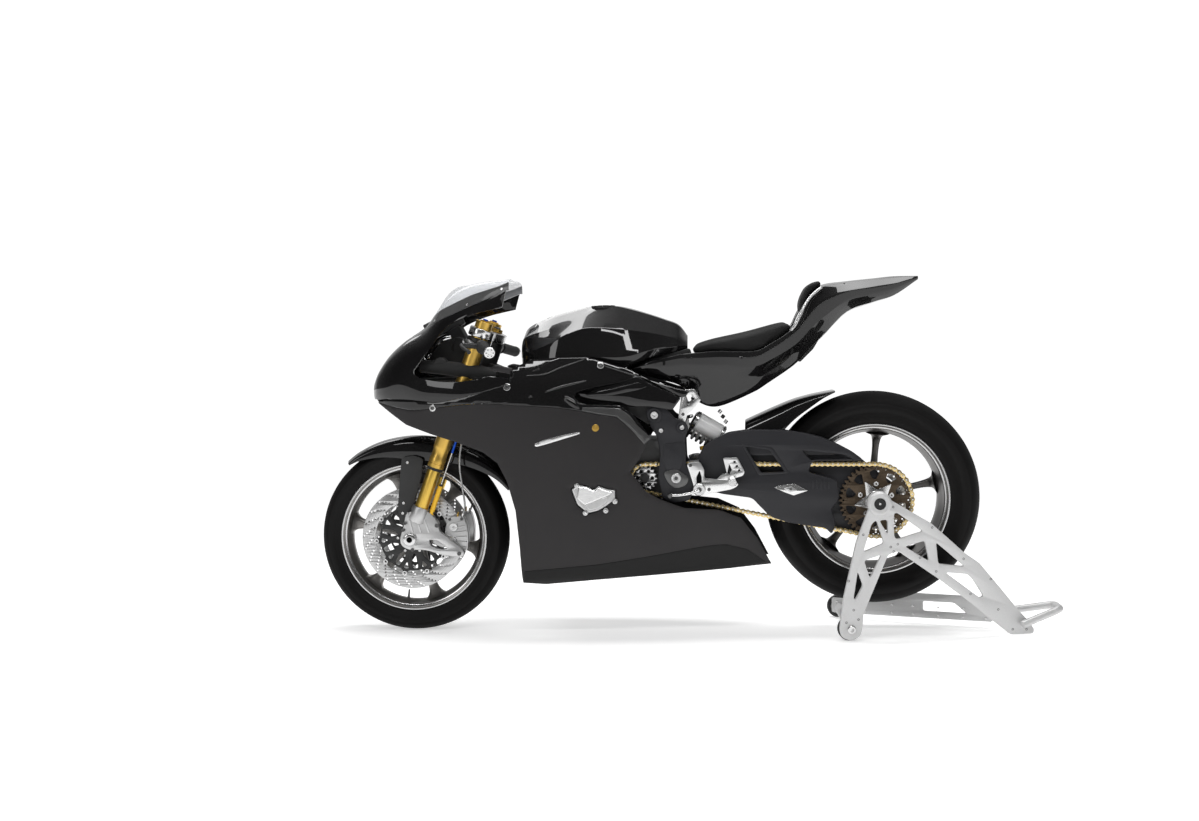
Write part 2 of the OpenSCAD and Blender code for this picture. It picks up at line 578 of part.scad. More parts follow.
module stand_handle() color("#d5d7da") place() difference() {
    for (i = [0 : len(handle_path) - 2]) hull() {
        translate(handle_path[i]) sphere(r = handle_r, $fn = 24);
        translate(handle_path[i + 1]) sphere(r = handle_r, $fn = 24);
    }
    on_upright() translate([-200, -200, 0]) cube([1200, 800, 400]);
    // Cut flush with the end of the low beam
    on_base_beam() translate([-200, -100, -200]) cube([200 + beam_l, 400, 400]);
}
module stand_spindle() color("#b9bcbf") place() {
    cross_bar([wheelbase, rear_axle_z], -240, -chain_y - 6, spindle_r);
}
module stand_roller(y) translate([stand_roller_x, y, roller_r]) rotate([90, 0, 0])
    ring(roller_bore_r + fit, roller_r, -roller_w / 2, roller_w / 2);
module stand_roller_left() color("#1a1a1a") place() stand_roller(roller_left_y);
module stand_roller_right() color("#1a1a1a") place() stand_roller(roller_right_y);

// ---- front end --------------------------------------------------------------------------------
module fork_bores(s0, s1, r) both() translate([0, -fork_y, s0]) cylinder(r = r, h = s1 - s0);
module clamp(s, stem_bore) difference() {
    union() {
        both() translate([0, -fork_y, s]) cylinder(r = fork_outer_r + 11, h = clamp_t);
        translate([fork_offset, 0, s]) cylinder(r = 34, h = clamp_t);
        translate([-6, -fork_y, s]) cube([44, 2 * fork_y, clamp_t]);
    }
    fork_bores(s - 1, s + clamp_t + 1, fork_outer_r);
    if (stem_bore)
        translate([fork_offset, 0, s - 1]) cylinder(r = stem_r, h = clamp_t + 2);
}
module upper_clamp() color("#c8cbce") place() on_fork() clamp(upper_clamp_s, true);
module lower_clamp() color("#b9bcc0") place() on_fork() {
    clamp(lower_clamp_s, false);
    translate([fork_offset, 0, lower_clamp_s]) cylinder(r = stem_r, h = upper_clamp_s + clamp_t + 12 - lower_clamp_s);
}
module fork_outer_tubes() color("#b98f2c") place() on_fork() both() translate([0, -fork_y, 0])
    difference() {
        translate([0, 0, fork_split]) cylinder(r = fork_outer_r, h = fork_top - fork_split);
        translate([0, 0, fork_split - 1]) cylinder(r = fork_inner_r, h = 200);
    }
module fork_inner_tubes() color("#c29a3a") place() on_fork() both() translate([0, -fork_y, 70])
    cylinder(r = fork_inner_r, h = fork_split + 150 - 70);
module fork_feet() color("#b4b7ba") place() both() difference() {
    union() {
        side_plate(-foot_out, -foot_in) polygon([[-6, 388], [60, 392], [97, 362], [92, 318],
            [172, 262], [168, 246], [100, 246], [40, 272], [-4, 268], [-32, 300], [-20, 340]]);
        on_fork() translate([0, -fork_y, 60]) cylinder(r = fork_inner_r + 5, h = 48);
    }
    on_fork() translate([0, -fork_y, 70]) cylinder(r = fork_inner_r, h = 100);
    cross_bar([0, front_tyre_r], -foot_out - 10, -foot_in + 10, axle_r);
}
module front_axle() color("#2c2d2f") place() difference() {
    cross_bar([0, front_tyre_r], -foot_out - 3, foot_out + 3, axle_r);
    cross_bar([0, front_tyre_r], -foot_out - 4, foot_out + 4, axle_hole_r);
}
bar_root = [220, -fork_y, 912];
bar_end = [288, -bar_end_y, 883];
function along_bar(t) = bar_root + (bar_end - bar_root) * t;
module handlebars() color("#202123") place() {
    both() difference() {
        union() {
            on_fork() translate([0, -fork_y, bar_clamp_s]) cylinder(r = fork_outer_r + 9, h = 26);
            bar(along_bar(0.1), along_bar(1), bar_r);
        }
        on_fork() translate([0, -fork_y, bar_clamp_s - 50]) cylinder(r = fork_outer_r, h = 120);
    }
}
module grips() color("#0d0d0e") place() both() difference() {
    bar(along_bar(0.42), along_bar(0.97), grip_r);
    bar(along_bar(0.4), along_bar(1.1), bar_r);
}
module levers() color("#3c3d40") place() both() difference() {
    union() {
        bar(along_bar(0.26), along_bar(0.38), bar_r + 8);
        bar(along_bar(0.32) + [-14, 0, 0], along_bar(0.36) + [-62, -6, 6], 8);
        bar(along_bar(0.36) + [-62, -6, 6], along_bar(0.86) + [-54, 0, 0], 6);
    }
    bar(along_bar(0.2), along_bar(0.45), bar_r);
}
caliper_at = [118, 262];
module front_calipers() color("#9da0a3") place() both() difference() {
    side_plate(-foot_in, -54) polygon([[112, 262], [168, 262], [176, 320], [160, 372], [122, 366],
        [104, 320]]);
    on_front_axle() translate([0, 0, disc_y - 5]) cylinder(r = front_disc_r + 6, h = disc_t + 10);
}
// Fender: angle round the front axle, radius of the crown, depth of its sides
fender_stations = [[129, 322, 8], [118, 320, 26], [104, 318, 46], [92, 318, 60], [80, 320, 60],
    [66, 326, 52], [50, 342, 40], [36, 358, 26], [26, 362, 12]];
fender_half = 68;
function fender_row(s, inset) = [for (v = [[-1, s[2]], [-1, s[2] * 0.4], [-0.82, -2], [-0.4, -8],
    [0, -10], [0.4, -8], [0.82, -2], [1, s[2] * 0.4], [1, s[2]]])
    let(r = s[1] - 10 - v[1] - (abs(v[0]) < 1 ? inset : 0))
    [r * cos(s[0]), v[0] * (fender_half - (abs(v[0]) < 1 ? 0 : inset)), front_tyre_r + r * sin(s[0])]];
module front_fender() color("#161618") place() {
    shell(smooth_net([for (s = fender_stations) fender_row(s, 0)], 2),
        smooth_net([for (s = fender_stations) fender_row(s, 3)], 2));
    both() {
        side_plate(-foot_in, -foot_in + 4) polygon([[-43, 395], [-36, 345], [-6, 345], [8, 394],
            [36, 520], [36, 555], [-30, 550], [-30, 510]]);
        side_plate(-foot_in + 4, -fender_half + 1) polygon([[-26, 545], [-26, 520], [30, 520], [30, 548]]);
    }
}

// ---- wheels -----------------------------------------------------------------------------------
// Half of a tyre's section, as [radius, half width] from the bead to the crown
function tyre_half(r, w, bead) = let(h = r - rim_r) [
    [rim_r, bead], [rim_r + 0.16 * h, 0.95 * bead + 0.04 * w], [rim_r + 0.38 * h, w * 0.485],
    [rim_r + 0.52 * h, w * 0.5], [rim_r + 0.66 * h, w * 0.48], [rim_r + 0.8 * h, w * 0.405],
    [rim_r + 0.91 * h, w * 0.29], [rim_r + 0.98 * h, w * 0.15], [r, 0]];
module tyre(r, w, bead) rotate_extrude($fn = 128) polygon(concat(
    tyre_half(r, w, bead),
    [for (i = [7 : -1 : 0]) let(p = tyre_half(r, w, bead)[i]) [p[0], -p[1]]]));
module rim(w) rotate_extrude($fn = 128) polygon([[rim_r, w / 2 - 6], [rim_r, w / 2],
    [rim_r - 16, w / 2], [rim_r - 24, w / 4], [rim_r - 30, 0], [rim_r - 24, -w / 4],
    [rim_r - 16, -w / 2], [rim_r, -w / 2], [rim_r, -w / 2 + 6], [rim_r - 8, -w / 2 + 14],
    [rim_r - 16, -w / 4], [rim_r - 20, 0], [rim_r - 16, w / 4], [rim_r - 8, w / 2 - 14]]);
module spokes(count, first, r0, r1, w0, w1, h0, h1) for (i = [0 : count - 1])
    rotate([0, 0, first + i * 360 / count]) translate([0, 0, h0]) linear_extrude(h1 - h0)
        polygon([[r0, -w0 / 2], [r1, -w1 / 2], [r1, w1 / 2], [r0, w0 / 2]]);

module front_rim() color("#8d8c8a") place() on_front_axle() difference() {
    union() {
        rim(front_rim_w);
        spokes(6, 48, 20, rim_r - 24, 34, 26, -11, 11);
        translate([0, 0, -disc_y - disc_t]) cylinder(r = 32, h = 2 * (disc_y + disc_t));
    }
    translate([0, 0, -200]) cylinder(r = axle_r + fit, h = 400);
}
module front_tyre() color("#0f0f10") place() on_front_axle()
    tyre(front_tyre_r, front_tyre_w, front_rim_w / 2 - 3);
module disc_with_arms(r, inner, bore, arms, h0, h1) translate([0, 0, h0]) linear_extrude(h1 - h0) {
    difference() {
        circle(r = r, $fn = 96);
        circle(r = inner, $fn = 96);
    }
    difference() {
        circle(r = bore + 14);
        circle(r = bore);
    }
    for (i = [0 : arms - 1]) rotate(5 + i * 360 / arms)
        translate([bore + 6, -7]) square([inner - bore - 2, 14]);
}
module front_discs() color("#b6b7b8") place() on_front_axle() for (side = [0, 1])
    mirror([0, 0, side]) disc_with_arms(front_disc_r, 118, 32, 10, disc_y, disc_y + disc_t);

module rear_rim() color("#77777a") place() on_rear_axle() {
    difference() {
        union() {
            rim(rear_rim_w);
            spokes(5, 13, 40, rim_r - 24, 44, 30, -30, -6);
            translate([0, 0, -40]) cylinder(r = 58, h = 97);
            translate([0, 0, 56]) cylinder(r = hub_shaft_r, h = chain_y + 3 - 56);
        }
        // Socket on the right end of the hub
        translate([0, 0, -41]) cylinder(r = 22, h = 60);
    }
}
module rear_tyre() color("#0f0f10") place() on_rear_axle()
    tyre(rear_tyre_r, rear_tyre_w, rear_rim_w / 2 - 4);
module rear_disc() color("#b0b1b2") place() on_rear_axle()
    disc_with_arms(rear_disc_r, 78, hub_shaft_r, 6, 57, 62);
module rear_sprocket() color("#6b5a45") place() on_rear_axle()
    disc_with_arms(rear_sprocket_r - chain_h / 2 - 0.5, 82, hub_shaft_r, 5, chain_y - 3, chain_y + 3);
module wheel_nut() color("#cfd1d3") place() on_rear_axle() difference() {
    union() {
        translate([0, 0, chain_y + 3]) linear_extrude(8) polygon([for (i = [0 : 9])
            let(r = i % 2 == 0 ? 70 : 34, a = 48 + 36 * i) [r * cos(a), r * sin(a)]]);
        translate([0, 0, chain_y + 3]) cylinder(r = 27, h = 40);
    }
    translate([0, 0, chain_y + 2]) cylinder(r = spindle_r + fit, h = 60);
}

main_frame();
pivot_plates();
engine_block();
radiator();
exhaust();
nose_fairing();
windshield();
side_fairing_left();
side_fairing_right();
belly_pan();
fuel_tank();
seat_pad();
tail_cowl();
tail_brackets();
bum_stop();
swingarm();
hugger();
rear_shock();
rear_caliper();
chain();
front_sprocket();
rearsets();
stand_upright();
stand_base();
stand_handle();
stand_spindle();
upper_clamp();
lower_clamp();
fork_outer_tubes();
fork_inner_tubes();
fork_feet();
front_axle();
handlebars();
grips();
levers();
front_calipers();
front_fender();
front_rim();
front_tyre();
front_discs();
rear_rim();
rear_tyre();
rear_disc();
rear_sprocket();
wheel_nut();
stand_roller_left();
stand_roller_right();
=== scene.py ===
"""Looks of a track-day sport motorcycle on its single-sided paddock stand.

The layout is in millimetres from the front axle: X runs to the rear, -Y is the left side and Z is up
from the floor. Every piece is worked out in that layout and then moved into the frame's metres.
"""
import json
import logging
import math
from collections.abc import Iterable, Sequence
from dataclasses import dataclass
from enum import Enum
from typing import NamedTuple

import bmesh
import bpy
import numpy as np
from mathutils import Matrix, Vector, geometry

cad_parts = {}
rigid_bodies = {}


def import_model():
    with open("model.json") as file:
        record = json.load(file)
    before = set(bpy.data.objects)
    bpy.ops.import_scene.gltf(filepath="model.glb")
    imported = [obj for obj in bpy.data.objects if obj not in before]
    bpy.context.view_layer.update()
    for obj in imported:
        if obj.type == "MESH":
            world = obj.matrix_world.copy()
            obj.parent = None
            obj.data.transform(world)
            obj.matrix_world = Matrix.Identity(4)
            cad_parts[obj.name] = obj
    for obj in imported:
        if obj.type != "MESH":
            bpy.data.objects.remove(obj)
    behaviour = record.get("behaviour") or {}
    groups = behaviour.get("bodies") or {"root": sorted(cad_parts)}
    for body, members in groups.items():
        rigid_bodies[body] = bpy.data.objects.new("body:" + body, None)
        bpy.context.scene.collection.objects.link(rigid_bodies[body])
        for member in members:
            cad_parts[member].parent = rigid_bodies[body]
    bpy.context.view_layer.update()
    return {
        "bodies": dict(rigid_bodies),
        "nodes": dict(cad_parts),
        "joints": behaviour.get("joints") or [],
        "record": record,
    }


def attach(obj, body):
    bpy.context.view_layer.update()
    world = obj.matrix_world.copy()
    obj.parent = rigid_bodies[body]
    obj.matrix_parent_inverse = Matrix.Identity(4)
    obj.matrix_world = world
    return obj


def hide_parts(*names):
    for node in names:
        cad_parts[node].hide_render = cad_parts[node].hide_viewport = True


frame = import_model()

log = logging.getLogger("motorcycle")
MID_X = 865.0
FRONT_AXLE = (0.0, 300.0)
REAR_AXLE = (1446.0, 422.0)
FORK_LEAN = math.radians(19.7)
CHAIN_Y = 125.0


class Body(Enum):
    """The moving bodies that a piece can ride on."""

    CHASSIS = "chassis"
    STEERING = "steering"
    FRONT_WHEEL = "front_wheel"
    REAR_WHEEL = "rear_wheel"
    ROLLER_LEFT = "roller_left"
    ROLLER_RIGHT = "roller_right"


class Solid(NamedTuple):
    """Points in millimetres and the faces between them, each array holding faces of one size."""

    points: np.ndarray
    faces: list


# ---- curves and surfaces -----------------------------------------------------------------------
def spline_weights(t: np.ndarray) -> np.ndarray:
    """Weights of the four points round a span: the Catmull-Rom cubic at t between the middle two."""
    t2, t3 = t * t, t * t * t
    return 0.5 * np.stack([-t + 2 * t2 - t3, 2 - 5 * t2 + 3 * t3, t + 4 * t2 - 3 * t3, t3 - t2], -1)


def along(points: Sequence, u: np.ndarray) -> np.ndarray:
    """Points of a smooth curve.

    Args:
        points: Control points, n rows of any width.
        u: Places along the curve, from 0 to n - 1.
    Returns:
        For each place, the four nearest control points summed with their spline weights.
    """
    p = np.asarray(points, float)
    p = p[:, None] if p.ndim == 1 else p
    u = np.clip(np.asarray(u, float), 0, len(p) - 1)
    i = np.minimum(u.astype(int), len(p) - 2)
    w = spline_weights(u - i)
    near = np.clip(i[:, None] + np.arange(-1, 3), 0, len(p) - 1)
    return np.einsum("qk,qk...->q...", w, p[near])


def smooth(points: Sequence, steps: int) -> np.ndarray:
    """A smooth curve through the points, with the given number of steps for each span."""
    n = len(points)
    return along(points, np.linspace(0, n - 1, (n - 1) * steps + 1))


def straight(points: Sequence, gap: float) -> np.ndarray:
    """The same corners, with points added so that none along an edge are farther apart than gap."""
    p = np.asarray(points, float)
    rows = []
    for a, b in zip(p[:-1], p[1:]):
        n = max(1, int(np.ceil(np.linalg.norm(b - a) / gap)))
        rows.append(a + (b - a) * (np.arange(n) / n)[:, None])
    return np.concatenate([*rows, p[-1:]])


def circle(x: float, y: float, r: float, n: int = 24, first: float = 0.0) -> np.ndarray:
    """A circle of n points round (x, y)."""
    a = first + 2 * np.pi * np.arange(n) / n
    return np.stack([x + r * np.cos(a), y + r * np.sin(a)], -1)


def rounded(corners: Sequence, r: float, n: int = 5) -> np.ndarray:
    """A closed outline with its corners rounded.

    Each corner becomes a quadratic arc whose ends lie r along its two edges, or less than half an edge.
    """
    p = np.asarray(corners, float)
    before, after = np.roll(p, 1, 0) - p, np.roll(p, -1, 0) - p
    la, lb = (np.linalg.norm(v, axis=1, keepdims=True) for v in (before, after))
    a = p + before / la * np.minimum(r, 0.45 * la)
    b = p + after / lb * np.minimum(r, 0.45 * lb)
    t = np.linspace(0, 1, n)[None, :, None]
    arc = (1 - t) ** 2 * a[:, None] + 2 * t * (1 - t) * p[:, None] + t * t * b[:, None]
    return arc.reshape(-1, 2)


def grid(net: np.ndarray, close_u: bool = False, close_v: bool = False, caps: bool = False) -> Solid:
    """Quads between the rows and columns of a net.

    Args:
        net: Points, n rows by m columns by 3.
        close_u: The last row joins the first.
        close_v: The last column joins the first.
        caps: The first and last rows are closed with flat faces.
    Returns:
        The solid, with points numbered row by row.
    """
    n, m = net.shape[:2]
    i = np.arange(n if close_u else n - 1)[:, None]
    j = np.arange(m if close_v else m - 1)[None, :]
    a, b = i * m + j, i * m + (j + 1) % m
    c, d = ((i + 1) % n) * m + (j + 1) % m, ((i + 1) % n) * m + j
    faces = [np.stack([a, b, c, d], -1).reshape(-1, 4)]
    if caps:
        faces += [np.arange(m)[::-1][None, :], ((n - 1) * m + np.arange(m))[None, :]]
    return Solid(net.reshape(-1, 3), faces)


def lathe(profile: Sequence, sides: int = 96, closed: bool = True) -> Solid:
    """A profile of [radius, height] turned round the local Z axis."""
    p = np.asarray(profile, float)
    a = 2 * np.pi * np.arange(sides) / sides
    net = np.stack([np.outer(np.cos(a), p[:, 0]), np.outer(np.sin(a), p[:, 0]),
                    np.tile(p[:, 1], (sides, 1))], -1)
    return grid(net, close_u=True, close_v=closed)


def rod(r: float, h0: float, h1: float, sides: int = 32, edge: float = 0.6) -> Solid:
    """A round bar along the local Z axis with small chamfers."""
    return lathe([[0, h0], [r - edge, h0], [r, h0 + edge], [r, h1 - edge], [r - edge, h1], [0, h1]], sides, False)


def tube(path: Sequence, r: float | Sequence, sides: int = 16, steps: int = 6) -> Solid:
    """A round section carried along a smooth path.

    The section stays square to the path: its first arm is the previous one with the part along the
    new direction taken out.
    """
    q = smooth(path, steps) if steps > 1 else np.asarray(path, float)
    t = np.gradient(q, axis=0)
    t /= np.linalg.norm(t, axis=1, keepdims=True)
    u = np.empty_like(q)
    ref = np.array([0, 1.0, 0]) if abs(t[0, 1]) < 0.9 else np.array([1.0, 0, 0])
    for i, d in enumerate(t):
        ref = ref - d * (ref @ d)
        ref = ref / np.linalg.norm(ref)
        u[i] = ref
    v = np.cross(t, u)
    radius = smooth(np.asarray(r, float)[:, None], steps)[:, 0] if np.ndim(r) else np.full(len(q), float(r))
    a = 2 * np.pi * np.arange(sides) / sides
    net = (q[:, None] + radius[:, None, None]
           * (u[:, None] * np.cos(a)[None, :, None] + v[:, None] * np.sin(a)[None, :, None]))
    return grid(net, close_v=True, caps=True)


def beam(stations: Sequence, power: float = 4.0, sides: int = 24, steps: int = 6) -> Solid:
    """A bar whose section is a rounded rectangle that changes along it.

    Args:
        stations: Rows of [x, y, z, half width along Y, half depth in the XZ plane].
        power: 2 is an ellipse, higher is squarer: |a / w| ** power + |b / d| ** power = 1.
    """
    s = smooth(stations, steps)
    q = s[:, :3]
    t = np.gradient(q, axis=0)
    t /= np.linalg.norm(t, axis=1, keepdims=True)
    across = np.tile([0, 1.0, 0], (len(q), 1))
    across = across - t * (across * t).sum(1, keepdims=True)
    across /= np.linalg.norm(across, axis=1, keepdims=True)
    other = np.cross(t, across)
    a = 2 * np.pi * np.arange(sides) / sides
    c, d = np.cos(a), np.sin(a)
    k = (np.abs(c) ** power + np.abs(d) ** power) ** (-1 / power)
    net = (q[:, None] + across[:, None] * (s[:, 3:4] * (c * k))[..., None]
           + other[:, None] * (s[:, 4:5] * (d * k))[..., None])
    return grid(net, close_v=True, caps=True)


def plate(outer: Sequence, h0: float, h1: float, bevel: float = 1.0, holes: Iterable = ()) -> Solid:
    """A flat plate with holes, from h0 to h1 along the local Z axis, with rounded edges."""
    curve = bpy.data.curves.new("plate", "CURVE")
    curve.dimensions, curve.fill_mode = "2D", "BOTH"
    curve.bevel_depth, curve.bevel_resolution, curve.offset = bevel, 1, -bevel
    curve.extrude = max((h1 - h0) / 2 - bevel, 0.01)
    for loop in (outer, *holes):
        p = np.asarray(loop, float)
        spline = curve.splines.new("POLY")
        spline.points.add(len(p) - 1)
        spline.points.foreach_set("co", np.column_stack([p, np.zeros(len(p)), np.ones(len(p))]).ravel())
        spline.use_cyclic_u = True
    holder = bpy.data.objects.new("plate", curve)
    mesh = bpy.data.meshes.new_from_object(holder)
    co = np.empty(len(mesh.vertices) * 3)
    mesh.vertices.foreach_get("co", co)
    points = co.reshape(-1, 3) + [0, 0, (h0 + h1) / 2]
    total = np.empty(len(mesh.polygons), int)
    mesh.polygons.foreach_get("loop_total", total)
    index = np.empty(len(mesh.loops), int)
    mesh.loops.foreach_get("vertex_index", index)
    starts = np.concatenate([[0], np.cumsum(total)[:-1]])
    faces = [index[starts[total == k][:, None] + np.arange(k)] for k in np.unique(total)]
    bpy.data.objects.remove(holder)
    bpy.data.curves.remove(curve)
    bpy.data.meshes.remove(mesh)
    return Solid(points, faces)


class Surface:
    """A smooth sheet through a net whose rows each hold one X and whose Z rises along a row."""

    def __init__(self, net: Sequence) -> None:
        """Keeps the net as an array of n rows by m columns by 3."""
        self.net = np.asarray(net, float)
        self.n, self.m = self.net.shape[:2]
        self.u_fine = np.linspace(0, self.n - 1, 60 * self.n)
        self.x_fine = along(self.net[:, 0, 0], self.u_fine)[:, 0]

    def at(self, u: np.ndarray, v: np.ndarray) -> np.ndarray:
        """Points at (u, v): the spline weights of u and of v times the sixteen nearest net points."""
        u = np.clip(np.asarray(u, float), 0, self.n - 1)
        v = np.clip(np.asarray(v, float), 0, self.m - 1)
        i, j = np.minimum(u.astype(int), self.n - 2), np.minimum(v.astype(int), self.m - 2)
        wu, wv = spline_weights(u - i), spline_weights(v - j)
        ri = np.clip(i[..., None] + np.arange(-1, 3), 0, self.n - 1)
        cj = np.clip(j[..., None] + np.arange(-1, 3), 0, self.m - 1)
        near = self.net[ri[..., :, None], cj[..., None, :]]
        return np.einsum("...i,...j,...ijk->...k", wu, wv, near)

    def find(self, side: np.ndarray) -> np.ndarray:
        """The (u, v) of points given as [X, Z], found by linear interpolation on fine samples."""
        side = np.asarray(side, float)
        u = np.interp(side[:, 0], self.x_fine, self.u_fine)
        v = np.linspace(0, self.m - 1, 50 * self.m)
        z = self.at(np.repeat(u[:, None], len(v), 1), np.repeat(v[None], len(u), 0))[..., 2]
        k = np.clip((z < side[:, 1:2]).sum(1) - 1, 0, len(v) - 2)
        row = np.arange(len(u))
        span = np.maximum(z[row, k + 1] - z[row, k], 1e-6)
        t = np.clip((side[:, 1] - z[row, k]) / span, 0, 1)
        return np.stack([u, v[k] + t * (v[k + 1] - v[k])], -1)

    def cut(self, outline: Sequence, holes: Iterable = (), fine: float = 10.0, edge: float = 6.0) -> Solid:
        """The part of the sheet inside an outline drawn in X and Z.

        The outline is carried into (u, v), filled with an even grid there, triangulated, and carried
        back onto the sheet.
        """
        loops = []
        for loop in (outline, *holes):
            closed = straight([*loop, loop[0]], edge)[:-1]
            uv = self.find(closed)
            keep = np.linalg.norm(uv - np.roll(uv, 1, 0), axis=1) > 1e-4
            loops.append(uv[keep])
        flat = np.concatenate(loops)
        links, start = [], 0
        for loop in loops:
            k = len(loop)
            links += [(start + i, start + (i + 1) % k) for i in range(k)]
            start += k
        lo, hi = flat.min(0), flat.max(0)
        gu, gv = (np.arange(a, b, 1 / fine) + 0.5 / fine for a, b in zip(lo, hi))
        inner = np.stack(np.meshgrid(gu, gv, indexing="ij"), -1).reshape(-1, 2)
        near = np.concatenate([np.abs(inner[s:s + 400, None] - flat[None]).max(-1).min(1)
                               for s in range(0, len(inner), 400)])
        inner = inner[near > 0.45 / fine]
        every = np.concatenate([flat, inner])
        found = geometry.delaunay_2d_cdt([Vector(p) for p in every], links, [], 2, 1e-7)
        uv = np.array([tuple(p) for p in found[0]])
        triangles = np.array([f for f in found[2] if len(f) == 3], int)
        middle = uv[triangles].mean(1)
        inside = np.zeros(len(middle), bool)
        for loop in loops:
            a, b = loop, np.roll(loop, -1, 0)
            for p, q in zip(a, b):
                over = (p[1] > middle[:, 1]) != (q[1] > middle[:, 1])
                if p[1] != q[1]:
                    at = p[0] + (middle[:, 1] - p[1]) / (q[1] - p[1]) * (q[0] - p[0])
                    inside ^= over & (middle[:, 0] < at)
        return Solid(self.at(uv[:, 0], uv[:, 1]), [triangles[inside]])


# ---- places ------------------------------------------------------------------------------------
def turn(axis: str, degrees: float) -> np.ndarray:
    """A turn about one axis as a 4 by 4 matrix."""
    return np.array(Matrix.Rotation(math.radians(degrees), 4, axis))


def move(x: float, y: float, z: float) -> np.ndarray:
    """A shift as a 4 by 4 matrix."""
    m = np.eye(4)
    m[:3, 3] = x, y, z
    return m


def on_side(x: float = 0, y: float = 0, z: float = 0) -> np.ndarray:
    """Local X and Y become X and Z, and local Z points left, from the origin (x, y, z)."""
    return move(x, y, z) @ turn("X", 90)


def on_fork(y: float = 0) -> np.ndarray:
    """Local Z runs up the fork from the front axle."""
    return move(0, y, FRONT_AXLE[1]) @ turn("Y", math.degrees(FORK_LEAN))


def facing(at: Sequence, towards: Sequence) -> np.ndarray:
    """Local Z points from at towards the given direction."""
    m = np.eye(4)
    m[:3, :3] = np.array(Vector(towards).to_track_quat("Z", "Y").to_matrix())
    m[:3, 3] = at
    return m


ON_FRONT = on_side(FRONT_AXLE[0], 0, FRONT_AXLE[1])
ON_REAR = on_side(REAR_AXLE[0], 0, REAR_AXLE[1])


class Shape:
    """The solids that make one piece."""

    def __init__(self, name: str) -> None:
        """Starts an empty shape."""
        self.name = name
        self.points: list = []
        self.faces: list = []
        self.slots: list = []
        self.count = 0

    def add(self, solid: Solid, at: np.ndarray | None = None, finish: int = 0, both: bool = False) -> "Shape":
        """Adds a solid.

        Args:
            solid: What to add.
            at: Its place.
            finish: Index of its finish among the piece's finishes.
            both: Also adds its mirror image on the other side of the machine.
        """
        p = solid.points if at is None else solid.points @ at[:3, :3].T + at[:3, 3]
        for flip in ((False, True) if both else (False,)):
            q = p * [1, -1, 1] if flip else p
            for f in solid.faces:
                self.faces.append((f[:, ::-1] if flip else f) + self.count)
                self.slots.append(np.full(len(f), finish))
            self.points.append(q)
            self.count += len(q)
        return self

    def build(self, body: Body, finishes: Sequence, stands_for: Sequence = (), slot: str = "",
              crease: float = 32.0, bevel: float = 0.0, wall: float = 0.0, weld: float = 0.02,
              outward: bool = True) -> bpy.types.Object:
        """Makes the piece.

        Args:
            body: What it rides on.
            finishes: Its finishes, in the order of their indices.
            stands_for: CAD nodes that it replaces.
            slot: The record's material slot; not used.
            crease: Edges sharper than this angle stay sharp.
            bevel: Width of the bevel on sharp edges.
            wall: Thickness given to an open sheet, inwards.
            weld: Points closer than this are merged.
            outward: Works out the outward side of every face.
        """
        mesh = bpy.data.meshes.new(self.name)
        co = (np.concatenate(self.points) - [MID_X, 0, 0]) / 1000
        loops = np.concatenate([f.ravel() for f in self.faces])
        total = np.concatenate([np.full(len(f), f.shape[1]) for f in self.faces])
        mesh.vertices.add(len(co))
        mesh.vertices.foreach_set("co", co.ravel())
        mesh.loops.add(len(loops))
        mesh.loops.foreach_set("vertex_index", loops)
        mesh.polygons.add(len(total))
        mesh.polygons.foreach_set("loop_start", np.concatenate([[0], np.cumsum(total)[:-1]]))
        mesh.polygons.foreach_set("material_index", np.concatenate(self.slots))
        mesh.update(calc_edges=True)
        mesh.validate()
        b = bmesh.new()
        b.from_mesh(mesh)
        bmesh.ops.remove_doubles(b, verts=b.verts, dist=weld / 1000)
        bmesh.ops.dissolve_degenerate(b, edges=b.edges, dist=1e-6)
        if outward:
            bmesh.ops.recalc_face_normals(b, faces=b.faces)
        b.to_mesh(mesh)
        b.free()
        piece = bpy.data.objects.new(self.name, mesh)
        bpy.context.scene.collection.objects.link(piece)
        for f in finishes:
            mesh.materials.append(f.material())
        if wall:
            m = piece.modifiers.new("wall", "SOLIDIFY")
            m.thickness, m.offset, m.use_even_offset = wall / 1000, -1, False
        if bevel:
            m = piece.modifiers.new("edges", "BEVEL")
            m.width, m.segments, m.limit_method = bevel / 1000, 2, "ANGLE"
            m.angle_limit, m.harden_normals = math.radians(40), False
        mesh.polygons.foreach_set("use_smooth", np.ones(len(mesh.polygons), bool))
        if wall or bevel:
            with bpy.context.temp_override(object=piece, active_object=piece, selected_objects=[piece]):
                for m in list(piece.modifiers):
                    bpy.ops.object.modifier_apply(modifier=m.name)
        piece.data.set_sharp_from_angle(angle=math.radians(crease))
        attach(piece, body.value)
        if stands_for:
            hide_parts(*stands_for)
        log.info("%s: %d faces", self.name, len(piece.data.polygons))
        return piece


# ---- finishes ----------------------------------------------------------------------------------
class Grain(Enum):
    """The fine pattern that a finish shows."""

    MOULDED = "moulded"
    TURNED = "turned"
    BRUSHED = "brushed"
    WEAVE = "weave"
    FOAM = "foam"


